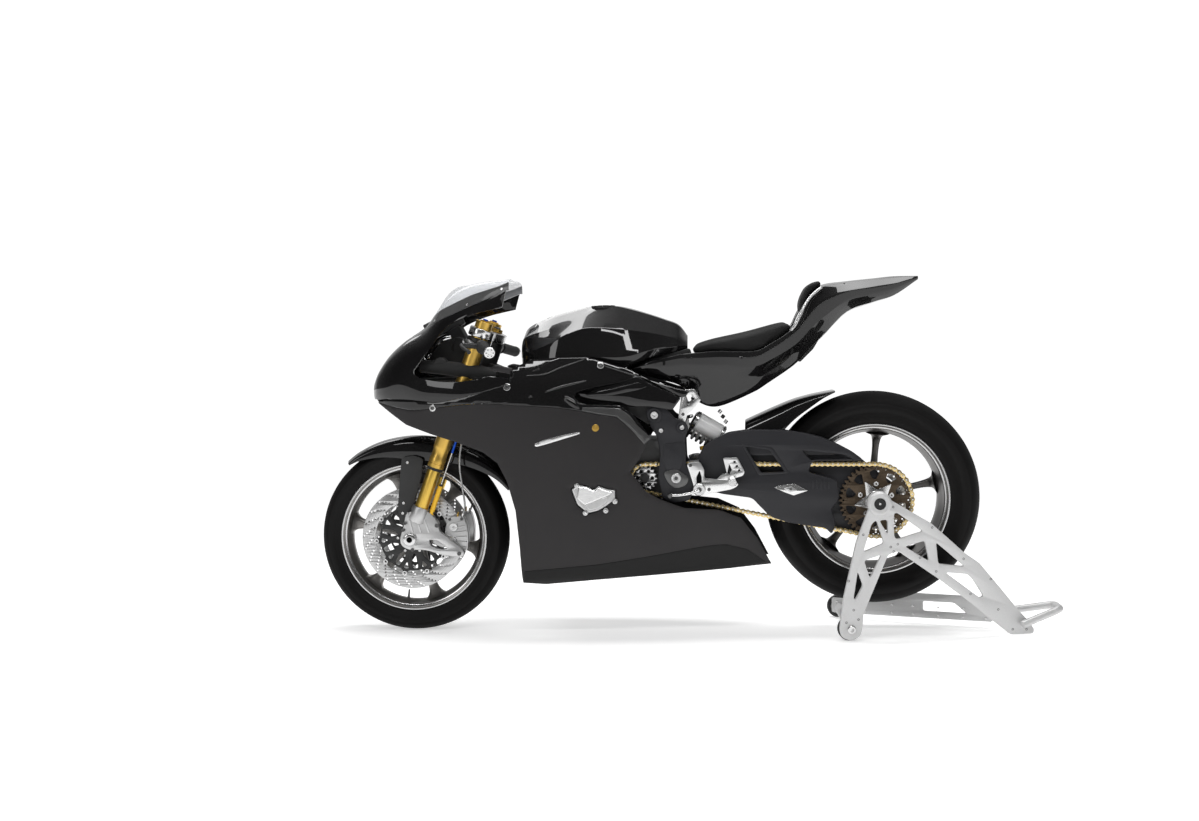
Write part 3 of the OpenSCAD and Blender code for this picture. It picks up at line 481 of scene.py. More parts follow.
class Nodes:
    """A short way to lay and join the nodes of a tree."""

    def __init__(self, tree: bpy.types.NodeTree) -> None:
        """Keeps the tree."""
        self.tree = tree

    def new(self, kind: str, **values: object) -> bpy.types.Node:
        """A node of a kind, with its properties set."""
        node = self.tree.nodes.new(kind)
        for key, value in values.items():
            setattr(node, key, value)
        return node

    def join(self, out: object, into: object) -> None:
        """Joins two sockets, or sets the second to a number or colour."""
        if isinstance(out, bpy.types.NodeSocket):
            self.tree.links.new(out, into)
        else:
            into.default_value = out

    def maths(self, operation: str, a: object, b: object = 0.0, c: object = 0.0) -> bpy.types.NodeSocket:
        """The result of a Math node."""
        node = self.new("ShaderNodeMath", operation=operation)
        for value, socket in zip((a, b, c), node.inputs):
            self.join(value, socket)
        return node.outputs[0]

    def noise(self, vector: object, scale: object, detail: float = 3.0, rough: float = 0.55) -> bpy.types.NodeSocket:
        """The factor of a Noise Texture."""
        node = self.new("ShaderNodeTexNoise")
        self.join(vector, node.inputs["Vector"])
        self.join(scale, node.inputs["Scale"])
        node.inputs["Detail"].default_value, node.inputs["Roughness"].default_value = detail, rough
        return node.outputs["Fac"]

    def spread(self, value: object, low: float, high: float) -> bpy.types.NodeSocket:
        """A value stretched so that low becomes 0 and high becomes 1, and held there."""
        node = self.new("ShaderNodeMapRange")
        self.join(value, node.inputs["Value"])
        node.inputs["From Min"].default_value, node.inputs["From Max"].default_value = low, high
        return node.outputs["Result"]


def grain_group(grain: Grain) -> bpy.types.ShaderNodeTree:
    """The shader node group of a grain, made once.

    Inputs: Vector (metres), Size (of the pattern, in millimetres). Outputs: Fine, a value from 0 to 1
    over the surface, and Broad, a slow change from 0 to 1.
    """
    name = "grain_" + grain.value
    if name in bpy.data.node_groups:
        return bpy.data.node_groups[name]
    tree = bpy.data.node_groups.new(name, "ShaderNodeTree")
    for label, way, kind in (("Vector", "INPUT", "NodeSocketVector"), ("Size", "INPUT", "NodeSocketFloat"),
                             ("Fine", "OUTPUT", "NodeSocketFloat"), ("Broad", "OUTPUT", "NodeSocketFloat")):
        tree.interface.new_socket(name=label, in_out=way, socket_type=kind)
    n = Nodes(tree)
    source, result = n.new("NodeGroupInput"), n.new("NodeGroupOutput")
    vector, size = source.outputs["Vector"], source.outputs["Size"]
    scale = n.maths("DIVIDE", 1000.0, size)
    split = n.new("ShaderNodeSeparateXYZ")
    n.join(vector, split.inputs[0])
    x, y, z = split.outputs
    if grain is Grain.MOULDED:
        fine = n.spread(n.noise(vector, scale, 4.0, 0.6), 0.3, 0.7)
    elif grain is Grain.FOAM:
        cells = n.new("ShaderNodeTexVoronoi")
        n.join(vector, cells.inputs["Vector"])
        n.join(scale, cells.inputs["Scale"])
        fine = n.spread(n.maths("ADD", cells.outputs["Distance"], n.noise(vector, scale, 4.0)), 0.5, 1.4)
    elif grain is Grain.BRUSHED:
        stretched = n.new("ShaderNodeCombineXYZ")
        for value, factor, socket in zip((x, y, z), (0.06, 1.0, 1.0), stretched.inputs):
            n.join(n.maths("MULTIPLY", value, factor), socket)
        fine = n.spread(n.noise(stretched.outputs[0], scale, 4.0, 0.7), 0.3, 0.7)
    elif grain is Grain.TURNED:
        radius = n.maths("SQRT", n.maths("ADD", n.maths("MULTIPLY", x, x), n.maths("MULTIPLY", z, z)))
        rings = n.new("ShaderNodeCombineXYZ")
        n.join(radius, rings.inputs[0])
        n.join(n.maths("MULTIPLY", y, 0.4), rings.inputs[1])
        fine = n.spread(n.noise(rings.outputs[0], scale, 3.0, 0.8), 0.3, 0.7)
    else:
        # Twill: each cell of (x + y, z) shows one of two yarn directions, stepping by one each row
        across = n.maths("MULTIPLY", n.maths("ADD", x, n.maths("MULTIPLY", y, 0.7)), scale)
        up = n.maths("MULTIPLY", z, scale)
        step = n.maths("ADD", n.maths("FLOOR", across), n.maths("FLOOR", up))
        warp = n.maths("LESS_THAN", n.maths("MODULO", n.maths("ADD", step, 4000.0), 4.0), 1.5)
        bulge = n.maths("MULTIPLY", n.maths("SINE", n.maths("MULTIPLY", n.maths("FRACT", across), math.pi)),
                        n.maths("SINE", n.maths("MULTIPLY", n.maths("FRACT", up), math.pi)))
        fine = n.maths("ADD", n.maths("MULTIPLY", warp, 0.65), n.maths("MULTIPLY", bulge, 0.35))
    n.join(fine, result.inputs["Fine"])
    n.join(n.spread(n.noise(vector, n.maths("MULTIPLY", 6.0, 1.0), 3.0), 0.35, 0.65), result.inputs["Broad"])
    return tree


@dataclass(frozen=True)
class Finish:
    """A surface finish.

    Colours are linear. The colour runs from dark to light with the grain, roughness changes by blotch
    with the slow pattern, and depth is the height of the grain in millimetres.
    """

    name: str
    dark: tuple
    light: tuple
    rough: float
    metal: float = 0.0
    coat: float = 0.0
    coat_rough: float = 0.03
    grain: Grain = Grain.MOULDED
    size: float = 1.2
    depth: float = 0.02
    blotch: float = 0.08
    centre: tuple = (0.0, 0.0, 0.0)
    see_through: float = 0.0
    sheen: float = 0.0
    specular: float = 0.5
    glow: float = 0.0

    def material(self) -> bpy.types.Material:
        """The finish as a material, made once."""
        made = bpy.data.materials.get(self.name)
        if made:
            return made
        made = bpy.data.materials.new(self.name)
        made.use_nodes = True
        n = Nodes(made.node_tree)
        shader = made.node_tree.nodes["Principled BSDF"]
        place = n.new("ShaderNodeTexCoord")
        mapping = n.new("ShaderNodeMapping")
        n.join(place.outputs["Object"], mapping.inputs["Vector"])
        mapping.inputs["Location"].default_value = [-c for c in self.centre]
        group = n.new("ShaderNodeGroup", node_tree=grain_group(self.grain))
        n.join(mapping.outputs[0], group.inputs["Vector"])
        group.inputs["Size"].default_value = self.size
        blend = n.new("ShaderNodeMix", data_type="RGBA")
        n.join(group.outputs["Fine"], blend.inputs["Factor"])
        blend.inputs["A"].default_value = (*self.dark, 1)
        blend.inputs["B"].default_value = (*self.light, 1)
        n.join(blend.outputs["Result"], shader.inputs["Base Color"])
        rough = n.maths("MULTIPLY_ADD", group.outputs["Broad"], self.blotch, max(self.rough - self.blotch / 2, 0.01))
        n.join(rough, shader.inputs["Roughness"])
        shader.inputs["Metallic"].default_value = self.metal
        shader.inputs["Specular IOR Level"].default_value = self.specular
        shader.inputs["Coat Weight"].default_value = self.coat
        shader.inputs["Coat Roughness"].default_value = self.coat_rough
        if self.sheen:
            shader.inputs["Sheen Weight"].default_value = self.sheen
        if self.glow:
            shader.inputs["Emission Color"].default_value = (1, 1, 1, 1)
            shader.inputs["Emission Strength"].default_value = self.glow
        if self.see_through:
            shader.inputs["Transmission Weight"].default_value = self.see_through
            shader.inputs["IOR"].default_value = 1.12
            shader.inputs["IOR"].default_value = 1.45
        if self.depth:
            bump = n.new("ShaderNodeBump")
            bump.inputs["Distance"].default_value = self.depth / 1000
            n.join(group.outputs["Fine"], bump.inputs["Height"])
            n.join(bump.outputs[0], shader.inputs["Normal"])
        return made


def grey(v: float) -> tuple:
    """A neutral linear colour."""
    return (v, v, v)


FRONT_CENTRE = (-MID_X / 1000, 0.0, FRONT_AXLE[1] / 1000)
REAR_CENTRE = ((REAR_AXLE[0] - MID_X) / 1000, 0.0, REAR_AXLE[1] / 1000)
GLOSS_BLACK = Finish("gloss_black_lacquer", (0.0028, 0.0026, 0.0028), (0.0050, 0.0048, 0.0050), 0.42, coat=1.0,
                     specular=0.05,
                     grain=Grain.WEAVE, size=1.4, depth=0.0, blotch=0.05)
SATIN_CARBON = Finish("satin_carbon_panel", (0.0135, 0.0122, 0.0128), (0.0190, 0.0172, 0.0180), 0.5, grain=Grain.WEAVE,
                      size=1.4, depth=0.004, blotch=0.07, specular=0.3)
BARE_WEAVE = Finish("bare_carbon_weave", grey(0.012), grey(0.075), 0.35, coat=0.6, grain=Grain.WEAVE, size=2.2,
                    depth=0.03)
# A darker copy of the satin carbon for the fairings' lower edge: painted shade, where the floor under the machine lies
# in its shadow.
SATIN_CARBON_SHADED = Finish("satin_carbon_painted_shade", grey(0.0065), grey(0.0095), 0.5, grain=Grain.WEAVE, size=1.4, depth=0.004,
                     blotch=0.05,
                     specular=0.2)
SATIN_BLACK = Finish("satin_black_casting", grey(0.010), grey(0.016), 0.48, size=0.8, depth=0.02)
ARM_BLACK = Finish("arm_black_anodised", (0.0125, 0.0125, 0.015), (0.0175, 0.0175, 0.021), 0.45, size=0.7,
                   depth=0.012, specular=0.35)
FLAT_BLACK = Finish("flat_black_plastic", grey(0.008), grey(0.014), 0.7, size=0.9, depth=0.04)
SILVER_CAST = Finish("cast_aluminium", grey(0.46), grey(0.62), 0.4, metal=1.0, size=0.9, depth=0.04, blotch=0.15)
SILVER_MACHINED = Finish("machined_aluminium", grey(0.62), grey(0.78), 0.26, metal=1.0, grain=Grain.BRUSHED,
                         size=0.8, depth=0.006, blotch=0.12)
STEEL_DARK = Finish("dark_steel", grey(0.09), grey(0.16), 0.4, metal=1.0, size=0.8, depth=0.01)
STEEL_BRIGHT = Finish("bright_steel", grey(0.55), grey(0.68), 0.22, metal=1.0, size=0.6, depth=0.004)
GOLD = Finish("gold_anodised", (0.58, 0.37, 0.055), (0.73, 0.48, 0.085), 0.24, metal=1.0, grain=Grain.BRUSHED,
              size=0.6, depth=0.004, blotch=0.10)
GOLD_HARD = Finish("gold_hard_coat", (0.56, 0.37, 0.07), (0.70, 0.47, 0.10), 0.30, metal=1.0, size=0.5, depth=0.003)
GRIP_RUBBER = Finish("grip_rubber", grey(0.007), grey(0.013), 0.75, size=2.0, depth=0.15)
TYRE_RUBBER = Finish("tyre_rubber", (0.0042, 0.004, 0.004), (0.0070, 0.0066, 0.0066), 0.72, size=1.0, depth=0.03,
                     blotch=0.1, specular=0.10)
TYRE_WALL = Finish("tyre_sidewall", (0.005, 0.0048, 0.0048), (0.008, 0.0076, 0.0076), 0.5, size=1.6, depth=0.02,
                   specular=0.12)
RIM_FRONT = Finish("forged_rim_front", (0.20, 0.192, 0.182), (0.27, 0.26, 0.25), 0.34, metal=0.85, size=0.6,
                   depth=0.006, blotch=0.1)
RIM_REAR = Finish("forged_rim_rear", (0.085, 0.082, 0.08), (0.13, 0.125, 0.12), 0.36, metal=0.8, size=0.6,
                  depth=0.006, blotch=0.1)
RIM_LIP = Finish("turned_rim_lip", grey(0.42), grey(0.6), 0.22, metal=1.0, grain=Grain.TURNED, size=0.8,
                 depth=0.004, centre=FRONT_CENTRE)
RIM_LIP_REAR = Finish("turned_rim_lip_rear", grey(0.42), grey(0.6), 0.22, metal=1.0, grain=Grain.TURNED, size=0.8,
                      depth=0.004, centre=REAR_CENTRE)
DISC_FRONT = Finish("ground_disc_front", grey(0.40), grey(0.60), 0.34, metal=1.0, grain=Grain.TURNED, size=1.1,
                    depth=0.006, centre=FRONT_CENTRE, blotch=0.12)
DISC_REAR = Finish("ground_disc_rear", grey(0.50), grey(0.74), 0.28, metal=1.0, grain=Grain.TURNED, size=1.1,
                   depth=0.006, centre=REAR_CENTRE, blotch=0.12)
BRONZE = Finish("hard_bronze_sprocket", (0.060, 0.044, 0.030), (0.105, 0.078, 0.054), 0.42, metal=0.9,
                grain=Grain.TURNED, size=0.9, depth=0.01, centre=REAR_CENTRE)
CHAIN_GOLD = Finish("chain_plate_gold", (0.58, 0.44, 0.20), (0.78, 0.62, 0.32), 0.3, metal=1.0, size=0.5, depth=0.004)
SHIELD = Finish("clear_shield", grey(0.52), grey(0.56), 0.05, grain=Grain.MOULDED, size=60.0, depth=0.0,
                see_through=0.85, blotch=0.02)
SHIELD_SMOKED = Finish("smoked_shield_border", grey(0.085), grey(0.10), 0.12, size=60.0, depth=0.0, see_through=0.25)
BLUE = Finish("blue_anodised", (0.01, 0.06, 0.42), (0.015, 0.09, 0.55), 0.3, metal=0.8, size=0.5, depth=0.002)
YELLOW = Finish("yellow_anodised", (0.75, 0.42, 0.02), (0.85, 0.5, 0.035), 0.35, metal=0.3, size=0.5, depth=0.002)
BRAID = Finish("braided_hose", grey(0.20), grey(0.45), 0.4, metal=0.7, grain=Grain.WEAVE, size=1.0, depth=0.05)
WHITE_PAINT = Finish("white_spring_paint", grey(0.84), grey(0.88), 0.35, coat=0.4, size=1.2, depth=0.004)
SEAT_FOAM = Finish("seat_foam", grey(0.0035), grey(0.0075), 0.92, grain=Grain.FOAM, size=2.4, depth=0.35, sheen=0.02,
                   specular=0.10)
STAND_ALLOY = Finish("stand_alloy", grey(0.56), grey(0.64), 0.5, metal=0.25, grain=Grain.BRUSHED, size=1.2,
                     depth=0.01, blotch=0.12)
STAND_TUBE = Finish("stand_tube", grey(0.55), grey(0.62), 0.42, metal=0.25, size=0.8, depth=0.006)
ROLLER_RUBBER = Finish("roller_rubber", grey(0.006), grey(0.012), 0.5, size=1.0, depth=0.03)
CORE_BLACK = Finish("radiator_core", grey(0.02), grey(0.05), 0.55, metal=0.4, size=1.5, depth=0.05)
PIPE_METAL = Finish("heated_steel_pipe", (0.20, 0.17, 0.14), (0.34, 0.30, 0.25), 0.34, metal=1.0, size=40.0,
                    depth=0.0, blotch=0.15)
ENGINE_GREY = Finish("engine_casting", grey(0.06), grey(0.10), 0.5, metal=0.6, size=1.0, depth=0.06)

NODE_FINISH = {
    "main_frame": SATIN_BLACK, "pivot_plates": ARM_BLACK, "engine_block": ENGINE_GREY, "radiator": CORE_BLACK,
    "exhaust": PIPE_METAL, "nose_fairing": GLOSS_BLACK, "windshield": SHIELD, "side_fairing_left": SATIN_CARBON,
    "side_fairing_right": SATIN_CARBON, "belly_pan": SATIN_CARBON, "fuel_tank": GLOSS_BLACK, "seat_pad": SEAT_FOAM,
    "tail_cowl": GLOSS_BLACK, "tail_brackets": SILVER_MACHINED, "bum_stop": SEAT_FOAM, "swingarm": ARM_BLACK,
    "hugger": GLOSS_BLACK, "rear_shock": WHITE_PAINT, "rear_caliper": STEEL_DARK, "chain": CHAIN_GOLD,
    "front_sprocket": STEEL_BRIGHT, "rearsets": SILVER_MACHINED, "stand_upright": STAND_ALLOY,
    "stand_base": STAND_ALLOY, "stand_handle": STAND_TUBE, "stand_spindle": STEEL_BRIGHT,
    "upper_clamp": SILVER_MACHINED, "lower_clamp": SILVER_MACHINED, "fork_outer_tubes": GOLD,
    "fork_inner_tubes": GOLD_HARD, "fork_feet": SILVER_CAST, "front_axle": STEEL_DARK, "handlebars": SATIN_BLACK,
    "grips": GRIP_RUBBER, "levers": SATIN_BLACK, "front_calipers": SILVER_CAST, "front_fender": GLOSS_BLACK,
    "front_rim": RIM_FRONT, "front_tyre": TYRE_RUBBER, "front_discs": DISC_FRONT, "rear_rim": RIM_REAR,
    "rear_tyre": TYRE_RUBBER, "rear_disc": DISC_REAR, "rear_sprocket": BRONZE, "wheel_nut": SILVER_MACHINED,
    "stand_roller_left": ROLLER_RUBBER, "stand_roller_right": ROLLER_RUBBER,
}


def dress_frame_nodes() -> None:
    """Gives every CAD node its finish, so that whatever stays on show is dressed."""
    for name, node in frame["nodes"].items():
        node.data.materials.clear()
        node.data.materials.append(NODE_FINISH[name].material())


# ---- studio ------------------------------------------------------------------------------------
@dataclass
class Studio:
    """Pale floor, soft lights and the camera."""

    eye: tuple = (0.0655, -4.9777, 0.9073)
    yaw: float = -3.9
    pitch: float = -2.42
    roll: float = -0.5
    focal: float = 1573.63
    width: float = 1199.0

    def camera(self) -> None:
        """Camera at its place: forward is turned by yaw and pitch, then rolled about itself."""
        data = bpy.data.cameras.new("camera")
        data.sensor_width, data.lens = 36.0, 36.0 * self.focal / self.width
        camera = bpy.data.objects.new("camera", data)
        bpy.context.scene.collection.objects.link(camera)
        yaw, pitch, roll = (math.radians(a) for a in (self.yaw, self.pitch, self.roll))
        forward = np.array([math.sin(yaw) * math.cos(pitch), math.cos(yaw) * math.cos(pitch), math.sin(pitch)])
        right = np.array([math.cos(yaw), -math.sin(yaw), 0])
        up = np.cross(right, forward)
        r2 = right * math.cos(roll) + up * math.sin(roll)
        u2 = up * math.cos(roll) - right * math.sin(roll)
        m = np.eye(4)
        m[:3, 0], m[:3, 1], m[:3, 2], m[:3, 3] = r2, u2, -forward, self.eye
        camera.matrix_world = Matrix(m)
        data.clip_end = 200
        bpy.context.scene.camera = camera

    def light(self, name: str, at: tuple, aim: tuple, size: tuple, power: float) -> None:
        """One soft rectangular light at a place, turned to its aim."""
        data = bpy.data.lights.new(name, "AREA")
        data.shape, data.size, data.size_y, data.energy = "RECTANGLE", size[0], size[1], power
        lamp = bpy.data.objects.new(name, data)
        bpy.context.scene.collection.objects.link(lamp)
        lamp.location = at
        lamp.rotation_euler = (Vector(aim) - Vector(at)).to_track_quat("-Z", "Y").to_euler()

    def world(self) -> None:
        """White to the camera; to everything else bright behind and above, and dark on the near side."""
        world = bpy.data.worlds.new("studio")
        bpy.context.scene.world = world
        world.use_nodes = True
        n = Nodes(world.node_tree)
        back = world.node_tree.nodes["Background"]
        out = world.node_tree.nodes["World Output"]
        place = n.new("ShaderNodeTexCoord")
        lean = n.new("ShaderNodeVectorMath")
        lean.operation = "DOT_PRODUCT"
        n.join(place.outputs["Generated"], lean.inputs[0])
        lean.inputs[1].default_value = (0.0, 1.0, 0.05)
        ramp = n.new("ShaderNodeValToRGB")
        stops = ((0.0, 0.08), (0.30, 0.05), (0.50, 0.04), (0.78, 0.12), (0.90, 0.5), (1.0, 0.66))
        while len(ramp.color_ramp.elements) < len(stops):
            ramp.color_ramp.elements.new(0.5)
        for element, (at, v) in zip(ramp.color_ramp.elements, stops):
            element.position, element.color = at, (v, v, v, 1)
        n.join(n.maths("MULTIPLY_ADD", lean.outputs["Value"], 0.5, 0.5), ramp.inputs[0])
        n.join(ramp.outputs["Color"], back.inputs["Color"])
        white = n.new("ShaderNodeBackground")
        white.inputs["Color"].default_value = (1, 1, 1, 1)
        white.inputs["Strength"].default_value = 1.05
        rays = n.new("ShaderNodeLightPath")
        mix = n.new("ShaderNodeMixShader")
        n.join(rays.outputs["Is Camera Ray"], mix.inputs[0])
        n.join(back.outputs[0], mix.inputs[1])
        n.join(white.outputs[0], mix.inputs[2])
        n.join(mix.outputs[0], out.inputs["Surface"])

    def floor(self) -> None:
        """A wide pale floor that glows a little more away from the machine, so that it meets the backdrop."""
        half = 30.0
        mesh = bpy.data.meshes.new("studio_floor")
        mesh.from_pydata([(-half, -half, 0), (half, -half, 0), (half, half, 0), (-half, half, 0)], [], [(0, 1, 2, 3)])
        floor = bpy.data.objects.new("studio_floor", mesh)
        bpy.context.scene.collection.objects.link(floor)
        white = Finish("studio_floor_white", grey(0.88), grey(0.90), 0.8, size=300.0, depth=0.0, glow=0.5,
                       specular=0.1).material()
        mesh.materials.append(white)
        n = Nodes(white.node_tree)
        shader = next(node for node in white.node_tree.nodes if node.type == "BSDF_PRINCIPLED")
        place = n.new("ShaderNodeTexCoord")
        away = n.new("ShaderNodeVectorMath")
        away.operation = "LENGTH"
        n.join(place.outputs["Object"], away.inputs[0])
        spread = n.new("ShaderNodeMapRange")
        spread.interpolation_type = "SMOOTHSTEP"
        n.join(away.outputs["Value"], spread.inputs["Value"])
        for slot, value in (("From Min", 1.5), ("From Max", 9.0), ("To Min", 0.50), ("To Max", 0.97)):
            spread.inputs[slot].default_value = value
        n.join(spread.outputs[0], shader.inputs["Emission Strength"])

    def build(self) -> None:
        """Sets the whole studio."""
        self.camera()
        self.world()
        self.floor()
        self.light("overhead", (0.0, 0.3, 4.2), (0, 0, 0), (4.6, 1.6), 160)
        self.light("front_left", (-4.2, -4.5, 2.6), (0, 0, 0.6), (1.6, 2.4), 44)
        self.light("rear_left", (4.5, -4.0, 2.2), (0.3, 0, 0.5), (1.2, 2.4), 16)
        self.light("far_panel", (-2.0, 3.2, 3.3), (-0.4, 0, 0.95), (2.4, 1.2), 24)
        self.light("near_strip", (0.0, -3.4, 3.6), (0, 0, 0.6), (4.6, 0.3), 60)
        view = bpy.context.scene.view_settings
        view.view_transform, view.look = "Standard", "None"


# ---- fasteners ---------------------------------------------------------------------------------
def star_bolt(r: float, h: float) -> Solid:
    """A round bolt head with a six-lobed socket: the socket's radius swells and shrinks six times round."""
    a = np.linspace(0, 2 * np.pi, 48, endpoint=False)
    socket = 0.48 * r * (1 + 0.22 * np.cos(6 * a))
    ring = np.stack([np.cos(a), np.sin(a)], -1)
    rows = [(r, 0.0), (r, h - 0.12 * r), (0.9 * r, h), (None, h), (None, 0.35 * h), (0.01, 0.3 * h)]
    net = []
    for radius, z in rows:
        scale = socket[:, None] if radius is None else radius
        net.append(np.column_stack([ring * scale, np.full(len(a), z)]))
    return grid(np.array(net), close_v=True, caps=True)


def cap_screw(r: float, h: float, sides: int = 20) -> Solid:
    """A socket screw: a round head with a hexagonal recess."""
    a = np.linspace(0, 2 * np.pi, sides, endpoint=False)
    hexagon = 0.5 * r / np.cos((a + math.pi / 6) % (math.pi / 3) - math.pi / 6)
    ring = np.stack([np.cos(a), np.sin(a)], -1)
    rows = [(r, 0.0), (r, 0.8 * h), (0.86 * r, h), (None, h), (None, 0.4 * h), (0.01, 0.4 * h)]
    net = [np.column_stack([ring * (hexagon[:, None] if q is None else q), np.full(len(a), z)]) for q, z in rows]
    return grid(np.array(net), close_v=True, caps=True)


def bolts(shape: Shape, places: Iterable, at: np.ndarray, r: float, h: float, finish: int = 0,
          both: bool = False, star: bool = False) -> None:
    """Adds one bolt at each (x, y, z) of the local frame at."""
    head = star_bolt(r, h) if star else cap_screw(r, h)
    for p in places:
        shape.add(head, at @ move(*p), finish, both)


# ---- wheels ------------------------------------------------------------------------------------
@dataclass
class Wheel:
    """A tyre, a rim with spokes, and its hub; local Z is the axle, towards the left side."""

    name: str
    body: Body
    axle: tuple
    tyre_r: float
    tyre_w: float
    rim_w: float
    bead: float
    spoke_count: int
    first: float
    rim_finish: Finish
    lip_finish: Finish
    rim_r: float = 232.0

    def place(self) -> np.ndarray:
        """The wheel's frame."""
        return on_side(self.axle[0], 0, self.axle[1])

    def tyre(self) -> None:
        """The slick tyre: half a section in [radius, half width], smoothed, mirrored and turned."""
        r, w, rim = self.tyre_r, self.tyre_w, self.rim_r
        h = r - rim
        half = [[rim + 0.02 * h, self.bead], [rim + 0.16 * h, 0.95 * self.bead + 0.04 * w], [rim + 0.38 * h, w * 0.485],
                [rim + 0.52 * h, w * 0.5], [rim + 0.66 * h, w * 0.48], [rim + 0.8 * h, w * 0.405],
                [rim + 0.91 * h, w * 0.29], [rim + 0.98 * h, w * 0.15], [r, 0]]
        curve = smooth(half, 8)
        # Two moulded rings on the sidewall and the step where the tread begins
        for at, deep, wide in ((0.12, 0.9, 0.012), (0.30, 0.7, 0.01), (0.60, 0.5, 0.012)):
            near = np.exp(-(((curve[:, 0] - rim) / h - at) / wide) ** 2)
            curve[:, 1] -= deep * near
        wall = np.concatenate([[[rim - 3, self.bead - 4]], curve, (curve * [1, -1])[-2::-1],
                               [[rim - 3, 4 - self.bead]]])
        shape = Shape(self.name + "_tyre_slick")
        tread_from, around = rim + 0.62 * h, 192
        k = [i for i, p in enumerate(wall) if p[0] > tread_from]
        shape.add(lathe(wall, around), self.place())
        slots = np.zeros((around, len(wall)), int)
        slots[:, k[0]:k[-1]] = 1
        shape.slots[-1] = slots.ravel()
        shape.build(self.body, [TYRE_WALL, TYRE_RUBBER], [self.name + "_tyre"], "tyre_black", crease=60)

    def rim(self) -> None:
        """The rim barrel with stepped lips, the spokes and the hub."""
        w, r = self.rim_w / 2, self.rim_r
        outer = [[r - 1, w - 6], [r + 0.5, w - 4], [r + 0.5, w], [r - 2, w + 0.6], [r - 4.5, w], [r - 5, w - 3.5],
                 [r - 9, w - 5], [r - 10, w - 9], [r - 14.5, w - 10], [r - 16, w - 11.5], [r - 17, w - 16],
                 [r - 22, w * 0.5], [r - 27, w * 0.3], [r - 29, 0]]
        inner = [[r - 29, 0], [r - 27, -w * 0.3], [r - 22, -w * 0.5], [r - 17, 16 - w], [r - 16, 11.5 - w],
                 [r - 14.5, 10 - w], [r - 10, 9 - w], [r - 9, 5 - w], [r - 5, 3.5 - w], [r - 4.5, -w],
                 [r - 2, -w - 0.6],
                 [r + 0.5, -w], [r + 0.5, 4 - w], [r - 1, 6 - w], [r - 8, 14 - w], [r - 15, -w * 0.5], [r - 20, 0],
                 [r - 15, w * 0.5], [r - 8, w - 14]]
        profile = np.array(outer + inner[1:])
        shape = Shape(self.name + "_rim_forged")
        around, mirror_row = 160, 25
        shape.add(lathe(profile, around), self.place())
        slots = np.zeros((around, len(profile)), int)
        bright = (1, 2, 3, 6, 7)
        slots[:, [*bright, *(mirror_row - i for i in bright)]] = 1
        shape.slots[-1] = slots.ravel()
        self.spokes(shape)
        shape.build(self.body, [self.rim_finish, self.lip_finish, STEEL_DARK], [self.name + "_rim"], "rim_grey",
                    crease=38)

    def spokes(self, shape: Shape) -> None:
        """Adds the spokes and the hub."""
        raise NotImplementedError

    def valve(self, shape: Shape, angle: float) -> None:
        """A valve stem that stands inwards from the rim at an angle in degrees."""
        a = math.radians(angle)
        x, z = self.axle[0] + math.cos(a) * 206, self.axle[1] + math.sin(a) * 206
        x1, z1 = self.axle[0] + math.cos(a) * 176, self.axle[1] + math.sin(a) * 176
        shape.add(tube([[x, -4, z], [(x + x1) / 2, -6, (z + z1) / 2], [x1, -10, z1]], [4.2, 3.4, 2.8], 10, 4), finish=2)


